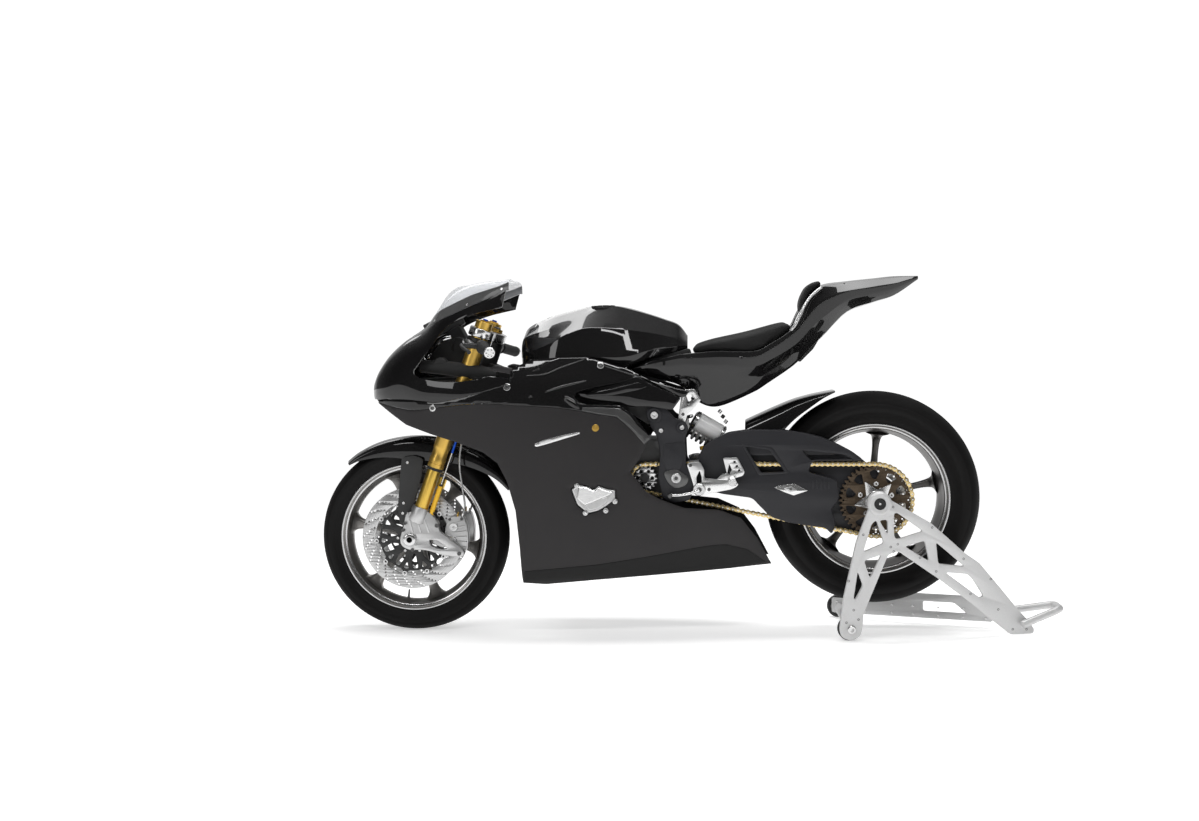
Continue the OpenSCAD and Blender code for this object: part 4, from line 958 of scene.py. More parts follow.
@dataclass
class FrontWheel(Wheel):
    """The front wheel with its two drilled discs."""

    disc_r: float = 160.0
    disc_in: float = 118.0
    disc_y: float = 70.0

    def spokes(self, shape: Shape) -> None:
        """Six spokes that widen into the rim, and the hub."""
        for i in range(self.spoke_count):
            a = math.radians(self.first + 360 / self.spoke_count * i)
            c, s = math.cos(a), math.sin(a)
            rows = [[r * c, 0, self.axle[1] + r * s, wide, deep] for r, wide, deep in
                    ((24, 15, 19), (60, 12, 14), (110, 10.5, 12.5), (150, 11, 13), (180, 14, 17), (197, 20, 27),
                     (206, 27, 44))]
            shape.add(beam(rows, 3.2, 28, 5))
        shape.add(lathe([[13, -76], [24, -76], [27, -72], [32, -68], [33, -30], [40, -14], [40, 14], [33, 30], [32, 68],
                         [27, 72], [24, 76], [13, 76]], 64), self.place())
        self.valve(shape, 262)

    def discs(self) -> None:
        """Two ground steel discs with slanting rows of holes."""
        shape = Shape("front_discs_drilled")
        holes = [circle(0, 0, self.disc_in, 120)]
        rows = ((124.5, 3.0, 0.0), (132.0, 3.1, 3.2), (139.5, 3.2, 6.4), (147.0, 3.1, 9.6), (154.0, 2.7, 12.8))
        for radius, r, skew in rows:
            for i in range(24):
                a = math.radians(15 * i + skew)
                holes.append(circle(radius * math.cos(a), radius * math.sin(a), r, 10))
        ring = plate(circle(0, 0, self.disc_r, 160), self.disc_y, self.disc_y + 5, 0.35, holes)
        shape.add(ring, ON_FRONT, both=True)
        shape.build(self.body, [DISC_FRONT], ["front_discs"], "disc_steel", crease=30)

    def carriers(self) -> None:
        """Black carriers: ten arms that fork towards the bobbins, with kite-shaped windows."""
        shape = Shape("front_disc_carriers")
        n = 10
        step = 2 * math.pi / n
        a = np.linspace(0, 2 * np.pi, 360, endpoint=False)
        lobe = np.cos(n * (a - math.radians(5)))
        edge = 104 + 13.5 * np.clip(lobe, -0.2, 1) ** 3
        outline = np.stack([edge * np.cos(a), edge * np.sin(a)], -1)
        holes = [circle(0, 0, 25, 48)]
        for i in range(n):
            t = math.radians(5) + (i + 0.5) * step
            kite = [(46, 0), (66, 0.62), (97, 0.30), (99, 0), (97, -0.30), (66, -0.62)]
            corners = [(r * math.cos(t + k * step * 0.42), r * math.sin(t + k * step * 0.42)) for r, k in kite]
            holes.append(rounded(corners, 5, 4))
            t -= step / 2
            drop = [(78, 0), (98, 0.34), (100, 0), (98, -0.34)]
            corners = [(r * math.cos(t + k * step * 0.42), r * math.sin(t + k * step * 0.42)) for r, k in drop]
            holes.append(rounded(corners, 3, 4))
        shape.add(plate(outline, self.disc_y + 0.6, self.disc_y + 6.2, 0.8, holes), ON_FRONT, both=True)
        shape.add(lathe([[25, 64], [36, 64], [38, 66], [38, 76], [36, 78], [25, 78]], 48), ON_FRONT, both=True)
        for i in range(n):
            t = math.radians(5) + i * step
            at = (115.5 * math.cos(t), 115.5 * math.sin(t), 0)
            shape.add(lathe([[2.5, 68.6], [7.6, 68.6], [8, 69.2], [8, 76.6], [7.4, 77.4], [4.5, 77.4], [4, 76],
                             [2.5, 76]], 20),
                      ON_FRONT @ move(*at), 1, both=True)
        bolts(shape, [(46 * math.cos(i * math.pi / 3), 46 * math.sin(i * math.pi / 3), 76.0) for i in range(6)],
              ON_FRONT,
              4.4, 3.4, 1, both=True)
        shape.build(self.body, [SATIN_BLACK, STEEL_BRIGHT], slot="black_alloy", crease=35)

    def build(self) -> None:
        """Builds the front wheel."""
        self.tyre()
        self.rim()
        self.discs()
        self.carriers()


@dataclass
class RearWheel(Wheel):
    """The rear wheel with its disc, sprocket and nut."""

    teeth: int = 44
    pitch_r: float = 111.0

    def spokes(self, shape: Shape) -> None:
        """Five slim spokes on the right, the hub, and the shaft that runs through the swingarm."""
        for i in range(self.spoke_count):
            a = math.radians(self.first + 360 / self.spoke_count * i)
            c, s = math.cos(a), math.sin(a)
            rows = [[self.axle[0] + r * c, y, self.axle[1] + r * s, wide, deep] for r, y, wide, deep in
                    ((44, 20, 18, 22), (70, 18, 14, 15), (110, 16, 11, 11), (150, 15, 10, 10.5), (182, 12, 13, 14),
                     (197, 8, 20, 22), (206, 4, 26, 40))]
            shape.add(beam(rows, 3.0, 28, 5))
        shape.add(lathe([[22, -57], [50, -57], [56, -50], [58, -30], [58, 20], [54, 40], [30, 40], [30, 24], [22, 20]],
                        64),
                  on_side(self.axle[0], 0, self.axle[1]) @ turn("X", 180))
        shape.add(lathe([[30, 40], [58, 40], [58, 50], [44, 56], [30, 56], [30, 127.5], [12, 127.5], [12, 100],
                         [12, 40]], 64),
                  self.place())
        self.valve(shape, 300)

    def drive(self) -> None:
        """The sprocket: teeth as a wave round the pitch circle, curved windows and a carrier."""
        shape = Shape("rear_sprocket_toothed")
        n = self.teeth
        a = np.linspace(0, 2 * np.pi, n * 12, endpoint=False)
        wave = np.clip(np.cos(n * a) * 1.5, -1, 1)
        r = self.pitch_r - 3.4 + 4.6 * wave
        outline = np.stack([r * np.cos(a), r * np.sin(a)], -1)
        holes = [circle(0, 0, 31, 48)]
        for i in range(10):
            t = 2 * math.pi / 10 * (i + 0.5)
            kite = [(62, 0.0), (70, 0.72), (90, 0.86), (95, 0.1), (92, -0.55), (76, -0.30)]
            corners = [(q * math.cos(t + k * 0.26), q * math.sin(t + k * 0.26)) for q, k in kite]
            holes.append(rounded(corners, 6, 5))
        for i in range(20):
            t = 2 * math.pi / 20 * i
            holes.append(circle(98.5 * math.cos(t), 98.5 * math.sin(t), 2.6, 10))
        shape.add(plate(outline, CHAIN_Y - 2.6, CHAIN_Y + 2.6, 0.7, holes), ON_REAR)
        for i in range(5):
            t = 2 * math.pi / 5 * i + 0.3
            shape.add(lathe([[3, -5], [8, -5], [8, 4], [7, 5], [3, 5]], 18),
                      ON_REAR @ move(50 * math.cos(t), 50 * math.sin(t), CHAIN_Y), 1)
        shape.build(self.body, [BRONZE, STEEL_BRIGHT], ["rear_sprocket"], "sprocket_bronze", crease=30)

    def nut(self) -> None:
        """The five-pointed locking star, the threaded nut and the spool in front of it."""
        shape = Shape("wheel_nut_star")
        corners = [((70 if i % 2 == 0 else 33) * math.cos(math.radians(48 + 36 * i)),
                    (70 if i % 2 == 0 else 33) * math.sin(math.radians(48 + 36 * i))) for i in range(10)]
        shape.add(plate(rounded(corners, 5, 4), CHAIN_Y + 3, CHAIN_Y + 11, 1.6, [circle(0, 0, 17, 32)]), ON_REAR)
        turns = [[16.6, 128], [29, 128], [29, 137]]
        for i in range(7):
            z = 139 + 3.6 * i
            turns += [[27.4, z], [25.6, z + 0.9], [25.6, z + 1.8], [27.4, z + 2.7]]
        turns += [[27, 165], [24.5, 167.6], [16.6, 167.6]]
        shape.add(lathe(turns, 64), ON_REAR)
        notches = [(21.5 * math.cos(t), 21.5 * math.sin(t), 166.2) for t in np.arange(8) * math.pi / 4]
        bolts(shape, notches, ON_REAR, 2.0, 2.0, 1)
        shape.build(self.body, [SILVER_MACHINED, STEEL_DARK], ["wheel_nut"], "silver_alloy", crease=30)

    def disc(self) -> None:
        """The small rear disc with drilled holes."""
        shape = Shape("rear_disc_drilled")
        holes = [circle(0, 0, 78, 80)]
        for radius, skew in ((84, 0), (91.5, 7), (99, 14)):
            holes += [circle(radius * math.cos(math.radians(20 * i + skew)),
                             radius * math.sin(math.radians(20 * i + skew)), 3, 10)
                      for i in range(18)]
        shape.add(plate(circle(0, 0, 105, 120), 57, 62, 0.4, holes), ON_REAR)
        a = np.linspace(0, 2 * np.pi, 240, endpoint=False)
        edge = 66 + 15 * np.clip(np.cos(6 * (a - math.radians(5))), 0, 1) ** 2
        shape.add(plate(np.stack([edge * np.cos(a), edge * np.sin(a)], -1), 58, 61.6, 0.6, [circle(0, 0, 31, 48)]),
                  ON_REAR, 1)
        shape.build(self.body, [DISC_REAR, SATIN_BLACK], ["rear_disc"], "disc_steel", crease=30)

    def build(self) -> None:
        """Builds the rear wheel."""
        self.tyre()
        self.rim()
        self.drive()
        self.nut()
        self.disc()


@dataclass
class Drive:
    """The chain round both sprockets, and the front sprocket."""

    front: tuple = (738.0, 492.0)
    front_r: float = 43.0
    rear_r: float = 111.0

    def path(self, count: int, shift: float) -> np.ndarray:
        """Pin places [x, z, direction], evenly spaced round the belt's two straights and two arcs."""
        c1, c2 = np.array(self.front), np.array(REAR_AXLE)
        d = c2 - c1
        far = np.hypot(*d)
        lean = math.atan2(d[1], d[0])
        b = math.acos((self.front_r - self.rear_r) / far)
        run = math.sqrt(far ** 2 - (self.rear_r - self.front_r) ** 2)
        lengths = np.array([run, self.rear_r * 2 * b, run, self.front_r * (2 * math.pi - 2 * b)])
        total = lengths.sum()
        s = (np.arange(count) / count * total + shift) % total
        ends = np.concatenate([[0], np.cumsum(lengths)])
        out = np.empty((count, 3))
        for k in range(4):
            pick = (s >= ends[k]) & (s < ends[k + 1] + 1e-9)
            t = s[pick] - ends[k]
            if k == 0:
                start = c1 + self.front_r * np.array([math.cos(lean + b), math.sin(lean + b)])
                way = np.array([math.cos(lean + b - math.pi / 2), math.sin(lean + b - math.pi / 2)])
                xy, turn_to = start + t[:, None] * way, np.full(len(t), lean + b - math.pi / 2)
            elif k == 1:
                a = lean + b - t / self.rear_r
                xy, turn_to = c2 + self.rear_r * np.stack([np.cos(a), np.sin(a)], -1), a - math.pi / 2
            elif k == 2:
                start = c2 + self.rear_r * np.array([math.cos(lean - b), math.sin(lean - b)])
                way = np.array([math.cos(lean - b - math.pi / 2), math.sin(lean - b - math.pi / 2)])
                xy, turn_to = start + t[:, None] * way, np.full(len(t), lean - b - math.pi / 2)
            else:
                a = lean - b - t / self.front_r
                xy, turn_to = c1 + self.front_r * np.stack([np.cos(a), np.sin(a)], -1), a - math.pi / 2
            out[pick, :2], out[pick, 2] = xy, turn_to
        return out

    def chain(self) -> None:
        """Pairs of waisted plates over pins and rollers, outer and inner by turns."""
        shape = Shape("chain_links")
        pitch = 15.83
        c1, c2 = np.array(self.front), np.array(REAR_AXLE)
        far = np.hypot(*(c2 - c1))
        b = math.acos((self.front_r - self.rear_r) / far)
        total = (2 * math.sqrt(far ** 2 - (self.rear_r - self.front_r) ** 2) + self.rear_r * 2 * b
                 + self.front_r * (2 * math.pi - 2 * b))
        count = int(round(total / pitch / 2)) * 2
        pins = self.path(count, 3.0)
        a = np.linspace(-2.0, 2.0, 7)
        end = np.stack([np.cos(a), np.sin(a)], -1)
        for i in range(count):
            p, q = pins[i, :2], pins[(i + 1) % count, :2]
            gap = np.linalg.norm(q - p)
            angle = math.degrees(math.atan2(q[1] - p[1], q[0] - p[0]))
            r = 7.2 if i % 2 else 6.7
            outline = np.concatenate([end * r + [gap, 0], [[gap / 2, 4.4]], -end * r, [[gap / 2, -4.4]]])
            y0 = 6.6 if i % 2 else 4.6
            link = plate(outline, y0, y0 + 1.7, 0.3)
            at = on_side(p[0], -CHAIN_Y, p[1]) @ turn("Z", angle)
            shape.add(link, at)
            shape.add(link, at @ move(0, 0, -2 * y0 - 1.7))
            shape.add(lathe([[0, -9.4], [2.6, -9.4], [2.6, -4.4], [4.9, -4.4], [4.9, 4.4], [2.6, 4.4], [2.6, 9.4],
                             [0, 9.4]], 12, False),
                      at, 1)
        shape.build(Body.CHASSIS, [CHAIN_GOLD, STEEL_BRIGHT], ["chain"], "chain_gold", crease=40)

    def sprocket(self) -> None:
        """The small front sprocket with six holes."""
        shape = Shape("front_sprocket_drilled")
        n = 17
        a = np.linspace(0, 2 * np.pi, n * 10, endpoint=False)
        r = 36.6 + 3.6 * np.clip(np.cos(n * a) * 1.5, -1, 1)
        holes = [circle(23 * math.cos(t), 23 * math.sin(t), 5.2, 16) for t in np.arange(6) * math.pi / 3]
        shape.add(plate(np.stack([r * np.cos(a), r * np.sin(a)], -1), CHAIN_Y - 3, CHAIN_Y + 3, 0.7,
                        [circle(0, 0, 12, 24), *holes]),
                  on_side(self.front[0], 0, self.front[1]))
        shape.add(lathe([[4, 122], [15, 122], [15, 132], [13, 134.5], [6, 134.5], [4, 133]], 32),
                  on_side(self.front[0], 0, self.front[1]), 1)
        shape.build(Body.CHASSIS, [STEEL_BRIGHT, STEEL_DARK], ["front_sprocket"], "sprocket_bronze", crease=30)

    def build(self) -> None:
        """Builds the drive."""
        self.chain()
        self.sprocket()


# ---- paddock stand -----------------------------------------------------------------------------
@dataclass
class PaddockStand:
    """The stand: a leaning truss plate, its spindle, a low beam, a handle and two rollers."""

    toe: float = 14.0
    lean: float = 4.4
    roller_x: float = 1360.0
    roller_r: float = 37.0
    thick: float = 10.0
    left_y: float = -183.0
    right_y: float = 230.0

    def upright_place(self) -> np.ndarray:
        """Local X and Y lie in the truss plate, from the middle of its roller."""
        return move(self.roller_x, -210, self.roller_r + 3) @ turn("Z", self.toe) @ turn("X", 90 + self.lean)

    def upright(self) -> None:
        """The truss plate with its windows, small bolts and the eye that takes the spindle."""
        outline = [[52, 384], [110, 396], [245, 319], [355, 224], [404, 191], [480, 105], [535, 41], [579, -4],
                   [592, -26],
                   [587, -37], [514, -37], [461, 4], [354, 88], [278, 144], [142, 236], [111, 227], [37, 45], [36, 0],
                   [28, -24], [0, -36], [-28, -24], [-36, 0], [-26, 97], [10, 270]]
        windows = [[[56, 322], [71, 334], [97, 262], [32, 237]], [[80, 332], [106, 334], [108, 288]],
                   [[126, 352], [136, 354], [220, 295], [136, 272], [128, 282]], [[35, 211], [90, 227], [55, 155]],
                   [[16, 179], [34, 135], [12, 92], [5, 95]], [[163, 250], [226, 266], [242, 202]],
                   [[262, 260], [357, 182], [271, 193]], [[294, 166], [366, 158], [383, 144], [421, 88], [410, 82]]]
        shape = Shape("stand_truss_plate")
        place = self.upright_place()
        holes = [rounded(w, 9, 5) for w in windows] + [circle(0, 0, 8.4, 24)]
        shape.add(plate(rounded(outline, 8, 4), 0, self.thick, 1.2, holes), place)
        shape.add(lathe([[16.3, -245], [24, -245], [30, -243], [36, -236], [36, -205], [32, -201], [16.3, -201]], 64),
                  on_side(REAR_AXLE[0], 0, REAR_AXLE[1]) @ turn("X", 180))
        shape.add(lathe([[18, 0], [30.5, 0], [31.5, 1], [31.5, 3.4], [30, 4.6], [25, 4.6], [24, 3.2], [18, 3.2]], 64),
                  on_side(REAR_AXLE[0], -244, REAR_AXLE[1]))
        shape.add(lathe([[0.5, -2], [17.4, -2], [17.4, 4], [16, 5], [6, 4], [5, 2.5], [0.5, 2.5]], 48, False),
                  on_side(REAR_AXLE[0], -244, REAR_AXLE[1]), 1)
        shape.add(cap_screw(3.6, 3), on_side(REAR_AXLE[0], -246, REAR_AXLE[1]), 3)
        heads = [(30, 290), (56, 365), (122, 372), (118, 250), (-12, 150), (6, 60), (-16, 22), (22, 30), (140, 258),
                 (248, 306),
                 (265, 170), (352, 206), (442, 140), (470, 44), (378, 96), (520, -20), (565, -22), (128, 236),
                 (212, 214)]
        for x, y in heads:
            shape.add(lathe([[0, -1.2], [1.6, -1.2], [2.2, 0.5], [3.6, 0.5], [3.9, -0.4], [3.9, -2]], 14, False),
                      place @ move(x, y, self.thick), 2)
        shape.add(cap_screw(13, 6), place @ move(0, 0, self.thick), 3)
        shape.build(Body.CHASSIS, [STAND_ALLOY, FLAT_BLACK, STEEL_DARK, STEEL_BRIGHT], ["stand_upright"],
                    "stand_silver", crease=30)

    def base(self) -> None:
        """The low beam, its stiffening fold, the cross tube and the rollers' shaft."""
        shape = Shape("stand_low_beam")
        place = move(self.roller_x - 20, 214, 0) @ turn("Z", -20) @ turn("X", 90)
        outline = [[0, 20], [0, 68], [110, 64], [270, 98], [420, 98], [520, 64], [520, 20], [110, 19]]
        slots = [rounded([[300, 42], [300, 74], [400, 74], [440, 42]], 8, 5)]
        shape.add(plate(rounded(outline, 6, 4), 0, self.thick, 1.2, slots), place)
        for x in (18, 60, 112, 200, 268, 350, 430, 500):
            for y in (30, 56):
                shape.add(cap_screw(3.6, 1.6, 12), place @ move(x, y, self.thick), 1)
        at = on_side(self.roller_x, 0, self.roller_r)
        shape.add(rod(8, -245, 222, 32), at)
        shape.add(rod(14, -205, 165, 40), at)
        for y in (self.left_y, self.right_y):
            shape.add(lathe([[8, 13.2], [15, 13.2], [17, 15], [17, 17], [8, 17]], 32), at @ move(0, 0, -y), 1)
        shape.build(Body.CHASSIS, [STAND_ALLOY, STEEL_BRIGHT], ["stand_base"], "stand_silver", crease=30)

    def handle(self) -> None:
        """The bent tube at the rear, one round section along a smooth path."""
        path = [[1893, -107, 36], [1940, -90, 52], [1990, -70, 68], [2010, -60, 75], [2018, -44, 76], [2018, -12, 76],
                [2018, 16, 76], [2010, 28, 75], [1990, 34, 72], [1940, 35, 65], [1862, 36, 54]]
        shape = Shape("stand_handle_tube")
        shape.add(tube(path, 11.8, 24, 6))
        shape.build(Body.CHASSIS, [STAND_TUBE], ["stand_handle"], "stand_silver", crease=40)

    def rollers(self) -> None:
        """Each roller: a rubber tyre with round shoulders on a pale spoked hub."""
        for name, y, body in (("left", self.left_y, Body.ROLLER_LEFT), ("right", self.right_y, Body.ROLLER_RIGHT)):
            shape = Shape("stand_wheel_" + name)
            at = on_side(self.roller_x, y, self.roller_r)
            shape.add(lathe([[25, -11.6], [33, -12], [36.2, -9.5], [37, -5], [37, 5], [36.2, 9.5], [33, 12],
                             [25, 11.6]], 80), at)
            shape.add(lathe([[8.3, -12], [13, -12], [15, -9], [23, -8], [25.5, -11], [25.5, 11], [23, 8], [15, 9],
                             [13, 12], [8.3, 12]], 64),
                      at, 1)
            spots = [(19 * math.cos(t), 19 * math.sin(t), 7.5) for t in np.arange(4) * math.pi / 2]
            for face in (at, at @ turn("X", 180)):
                bolts(shape, spots, face, 2.2, 1.8, 2)
            shape.build(body, [ROLLER_RUBBER, SILVER_CAST, STEEL_DARK], ["stand_roller_" + name], "rubber_black",
                        crease=35)

    def build(self) -> None:
        """Builds the stand."""
        self.upright()
        self.base()
        self.handle()
        self.rollers()


# ---- bodywork ----------------------------------------------------------------------------------
SEAM = [(-66, 742), (48, 736), (115, 734), (230, 758), (334, 790)]
COCKPIT_LOW = [(30, 820), (60, 804), (144, 795), (223, 801), (270, 812), (334, 806)]
COCKPIT_HIGH = [(306, 1022), (206, 999), (126, 961), (82, 903), (30, 830)]
SHIELD_EDGE = [(319, 1073), (210, 1028), (109, 986), (17, 946), (4, 934)]
WALL = 3.6


def mirrored(solid: Solid) -> Solid:
    """The same solid on the other side of the machine."""
    return Solid(solid.points * [1, -1, 1], [f[:, ::-1] for f in solid.faces])


def inwards(solid: Solid, depth: float) -> Solid:
    """A sheet moved in by a depth along its own normals, which are summed from its triangles."""
    p, t = solid.points, solid.faces[0]
    n = np.cross(p[t[:, 1]] - p[t[:, 0]], p[t[:, 2]] - p[t[:, 0]])
    total = np.zeros_like(p)
    for k in range(3):
        np.add.at(total, t[:, k], n)
    total /= np.maximum(np.linalg.norm(total, axis=1, keepdims=True), 1e-9)
    return Solid(p - total * depth, solid.faces)


def faceted(row: np.ndarray, parts: int = 4) -> np.ndarray:
    """A section with straight lines between its corners, each cut into equal parts."""
    t = np.arange(parts) / parts
    return np.concatenate([row[k] + (row[k + 1] - row[k]) * t[:, None] for k in range(len(row) - 1)] + [row[-1:]])


def inset(outline: Sequence, share: float) -> list:
    """An outline drawn towards its centre by a distance, point by point."""
    points = np.array(outline, float)
    rays = points - points.mean(0)
    return (points - rays / np.linalg.norm(rays, axis=1, keepdims=True) * share).tolist()


@dataclass
class Fairing:
    """The two side fairings: satin lower panels, gloss upper panels and their small parts."""

    heights: tuple = (400, 560, 654, 730, 800, 880)
    stations: tuple = (
        (-130, (20, 160), (30, 200), (30, 36, 42, 48, 50, 46)),
        (-50, (70, 165), (90, 205), (104, 112, 120, 126, 124, 112)),
        (50, (110, 165), (140, 205), (165, 175, 180, 182, 180, 168)),
        (190, (140, 166), (180, 208), (205, 216, 220, 220, 216, 200)),
        (350, (152, 167), (200, 211), (226, 237, 240, 238, 228, 200)),
        (595, (158, 182), (212, 240), (236, 244, 243, 234, 216, 194)),
        (800, (150, 199), (198, 280), (220, 226, 222, 210, 186, 172)),
        (960, (130, 211), (168, 292), (188, 192, 188, 178, 160, 146)),
        (1140, (96, 224), (112, 242), (124, 130, 130, 124, 112, 104)))
    split: tuple = ((-104, 730), (-39, 716), (25, 708), (81, 712), (138, 720), (234, 729), (330, 725), (418, 719),
                    (482, 714),
                    (545, 705), (600, 694), (664, 683), (690, 662), (757, 627))
    window: tuple = ((517, 470), (543, 483), (567, 480), (587, 470), (603, 482), (632, 470), (657, 467), (656, 437),
                     (622, 410),
                     (598, 398), (568, 392), (534, 420))

    # Outline of the darker strip along the panels' lower edge: painted shade along the bottom of the fairing.
    shade_band: tuple = ((369, 212), (595, 234), (755, 258), (907, 284), (950, 289), (990, 290), (1053, 273), (1112, 231),
                    (1000, 214), (846, 203), (593, 184), (432, 169), (366, 175))

    def surface(self) -> Surface:
        """The left side as a smooth sheet through its stations."""
        return Surface([[(x, -b[0], b[1] - 12), (x, -c[0], c[1])] + [(x, -w, z) for w, z in zip(half, self.heights)]
                        for x, b, c, half in self.stations])

    def panels(self) -> None:
        """Cuts the lower and upper panels from the sheet, with a thin gap between them."""
        sheet = self.surface()
        lower = [(x, z - 0.8) for x, z in smooth(self.split, 3)] + [
            (727, 559), (699, 520), (745, 460), (788, 435), (859, 408), (966, 399), (1034, 371), (1085, 305),
            (1128, 224),
            (1000, 212), (846, 201), (593, 182), (432, 167), (363, 173), (357, 290), (347, 401), (323, 490), (294, 547),
            (250, 580), (168, 610), (88, 633), (0, 662), (-60, 700), (-100, 726)]
        upper = [(x, z + 0.8) for x, z in smooth(self.split, 3)[::-1]] + [(x, z - 0.9) for x, z in smooth(SEAM, 4)] + [
            (336, 834), (400, 862), (480, 868), (566, 869), (612, 857), (700, 829), (729, 812), (674, 792), (600, 779),
            (540, 764), (530, 750), (548, 726), (600, 723), (667, 721), (712, 690)]
        pane = sheet.cut(lower, [rounded(self.window, 4, 3)], 9)
        for side, solid in (("left", pane), ("right", mirrored(sheet.cut(lower, (), 9)))):
            shape = Shape(f"side_panel_lower_{side}")
            shape.add(solid)
            shape.build(Body.CHASSIS, [SATIN_CARBON], ["side_fairing_" + side], "satin_carbon", crease=40, wall=WALL,
                        bevel=0.5,
                        outward=False)
        # The darker strip along the panels' lower edge, raised a little over them: painted shade along the bottom.
        shade_band = inwards(sheet.cut(rounded(self.shade_band, 3, 3), (), 14), -1.4)
        shape = Shape("side_lower_painted_shade")
        shape.add(shade_band)
        shape.add(mirrored(shade_band))
        shape.build(Body.CHASSIS, [SATIN_CARBON_SHADED], slot="satin_carbon", crease=40, wall=2.0, bevel=0.5, outward=False)
        top = inwards(sheet.cut(upper, (), 10), 0.3)
        for side, solid in (("left", top), ("right", mirrored(top))):
            shape = Shape(f"side_panel_upper_{side}")
            shape.add(solid)
            shape.build(Body.CHASSIS, [GLOSS_BLACK], slot="gloss_carbon", crease=40, wall=WALL, bevel=0.6,
                        outward=False)
        strip = [(553, 706), (600, 697), (658, 688), (683, 668), (711, 640), (741, 604), (762, 622), (718, 664),
                 (700, 690),
                 (668, 712), (609, 716), (556, 716)]
        shape = Shape("side_weave_strips")
        raised = inwards(sheet.cut(strip, (), 12), -1.6)
        shape.add(raised)
        shape.add(mirrored(raised))
        shape.build(Body.CHASSIS, [BARE_WEAVE], slot="gloss_carbon", crease=40, wall=2.4, bevel=0.4, outward=False)

    def on_sheet(self, x: float, z: float, out: float = 0.0) -> np.ndarray:
        """A place on the left sheet with local Z along its outward normal."""
        sheet = self.surface()
        uv = sheet.find([(x, z)])[0]
        p = sheet.at(*np.array([[uv[0]], [uv[1]]]))[0]
        du = sheet.at(np.array([uv[0] + 0.01]), np.array([uv[1]]))[0] - p
        dv = sheet.at(np.array([uv[0]]), np.array([uv[1] + 0.01]))[0] - p
        n = np.cross(du, dv)
        n /= np.linalg.norm(n)
        return facing(p + n * out, n)

    def details(self) -> None:
        """Fasteners with washers, the silver slot and the oval pods."""
        screws = Shape("fairing_fasteners")
        for x, z, finish in ((91, 715, 0), (326, 779, 0), (609, 843, 0), (595, 654, 1)):
            at = self.on_sheet(x, z, -0.4)
            screws.add(lathe([[0, 0.2], [6.5, 0.2], [10.2, 0.4], [10.6, 1.4], [9.8, 2.2], [6.8, 2.4], [6.6, 1.2],
                              [0, 1.2]], 32, False), at,
                       finish, both=True)
            screws.add(cap_screw(5.6, 4.4), at, 1 if finish else 2, both=True)
        screws.build(Body.CHASSIS, [STEEL_BRIGHT, GOLD, STEEL_DARK], slot="silver_alloy", crease=30)
        sheet = self.surface()
        slot = [(409, 603), (415, 609), (440, 619), (500, 634), (546, 643), (549, 640), (546, 636), (500, 622),
                (450, 607), (425, 600),
                (413, 598)]
        shape = Shape("side_slot_inlays")
        inlay = inwards(sheet.cut(rounded(slot, 3, 3), (), 20, 3), -1.0)
        shape.add(inlay)
        shape.add(mirrored(inlay))
        shape.build(Body.CHASSIS, [SILVER_MACHINED], slot="silver_alloy", crease=40, wall=1.6, bevel=0.4, outward=False)
        pod = Shape("side_pods")
        at = self.on_sheet(523, 731, -2.0)
        a = np.linspace(0, 2 * np.pi, 40, endpoint=False)
        rows = []
        for t in np.linspace(0, 1, 9):
            r = math.sqrt(max(1 - t * t, 0.0004))
            rows.append(np.stack([31 * r * np.cos(a), 12 * r * np.sin(a), np.full(len(a), 9 * t)], -1))
        pod.add(grid(np.array(rows), close_v=True, caps=True), at @ turn("Z", -38), 0, both=True)
        pod.build(Body.CHASSIS, [GLOSS_BLACK], slot="gloss_carbon", crease=50)

    def ridge(self, line: Sequence, radius: float, out: float = 0.0) -> Solid:
        """A slim rounded ridge that follows a line drawn on the left sheet."""
        sheet = self.surface()
        uv = sheet.find(smooth(line, 5))
        points = sheet.at(uv[:, 0], uv[:, 1]) + [0, -out, 0]
        taper = np.sin(np.linspace(0.12, np.pi - 0.12, len(points))) ** 0.4 * radius
        return tube(points, taper, 12, 1)

    def sculpting(self) -> None:
        """The soft creases of the upper panels."""
        shape = Shape("side_panel_creases")
        for line, radius in (
                (((384, 813), (440, 817), (488, 836), (560, 861)), 2.4),
                (((612, 843), (711, 811), (740, 803)), 2.0),
                (((442, 763), (490, 778), (567, 796)), 4.2),
                (((392, 747), (398, 750), (404, 748)), 3.4),
                (((232, 733), (300, 731), (330, 734)), 1.8),
                (((500, 735), (540, 729), (566, 724)), 2.6)):
            solid = self.ridge(line, radius)
            shape.add(solid)
            shape.add(mirrored(solid))
        shape.build(Body.CHASSIS, [GLOSS_BLACK], slot="gloss_carbon", crease=60)

    def clutch(self) -> None:
        """The faceted clutch case in the window, with its bolts."""
        shape = Shape("clutch_case_faceted")
        rim = rounded(inset(self.window, 3.5), 4, 3)
        shape.add(plate(rim, 218, 243, 5.0), on_side())
        facet = [(541, 478), (566, 476), (588, 465), (604, 476), (626, 466), (648, 462), (634, 449), (610, 440),
                 (586, 429), (560, 420),
                 (537, 440)]
        shape.add(plate(rounded(facet, 3, 3), 242, 250, 4.5), on_side(), 1)
        shape.add(plate(rounded([(560, 424), (586, 433), (612, 444), (636, 450), (622, 424), (600, 408), (572, 404)], 4,
                                3), 242, 247, 3.5),
                  on_side())
        for x, z in ((537, 479), (652, 431), (624, 403), (562, 396)):
            shape.add(rod(8.0, -14, 0, 24), on_side(x, -244.5, z))
            shape.add(star_bolt(5.4, 3.6), on_side(x, -244.5, z), 2)
        shape.build(Body.CHASSIS, [SILVER_CAST, SILVER_MACHINED, STEEL_BRIGHT], slot="silver_alloy", crease=18,
                    bevel=1.0)

    def build(self) -> None:
        """Builds the side fairings."""
        self.panels()
        self.details()
        self.sculpting()
        self.clutch()


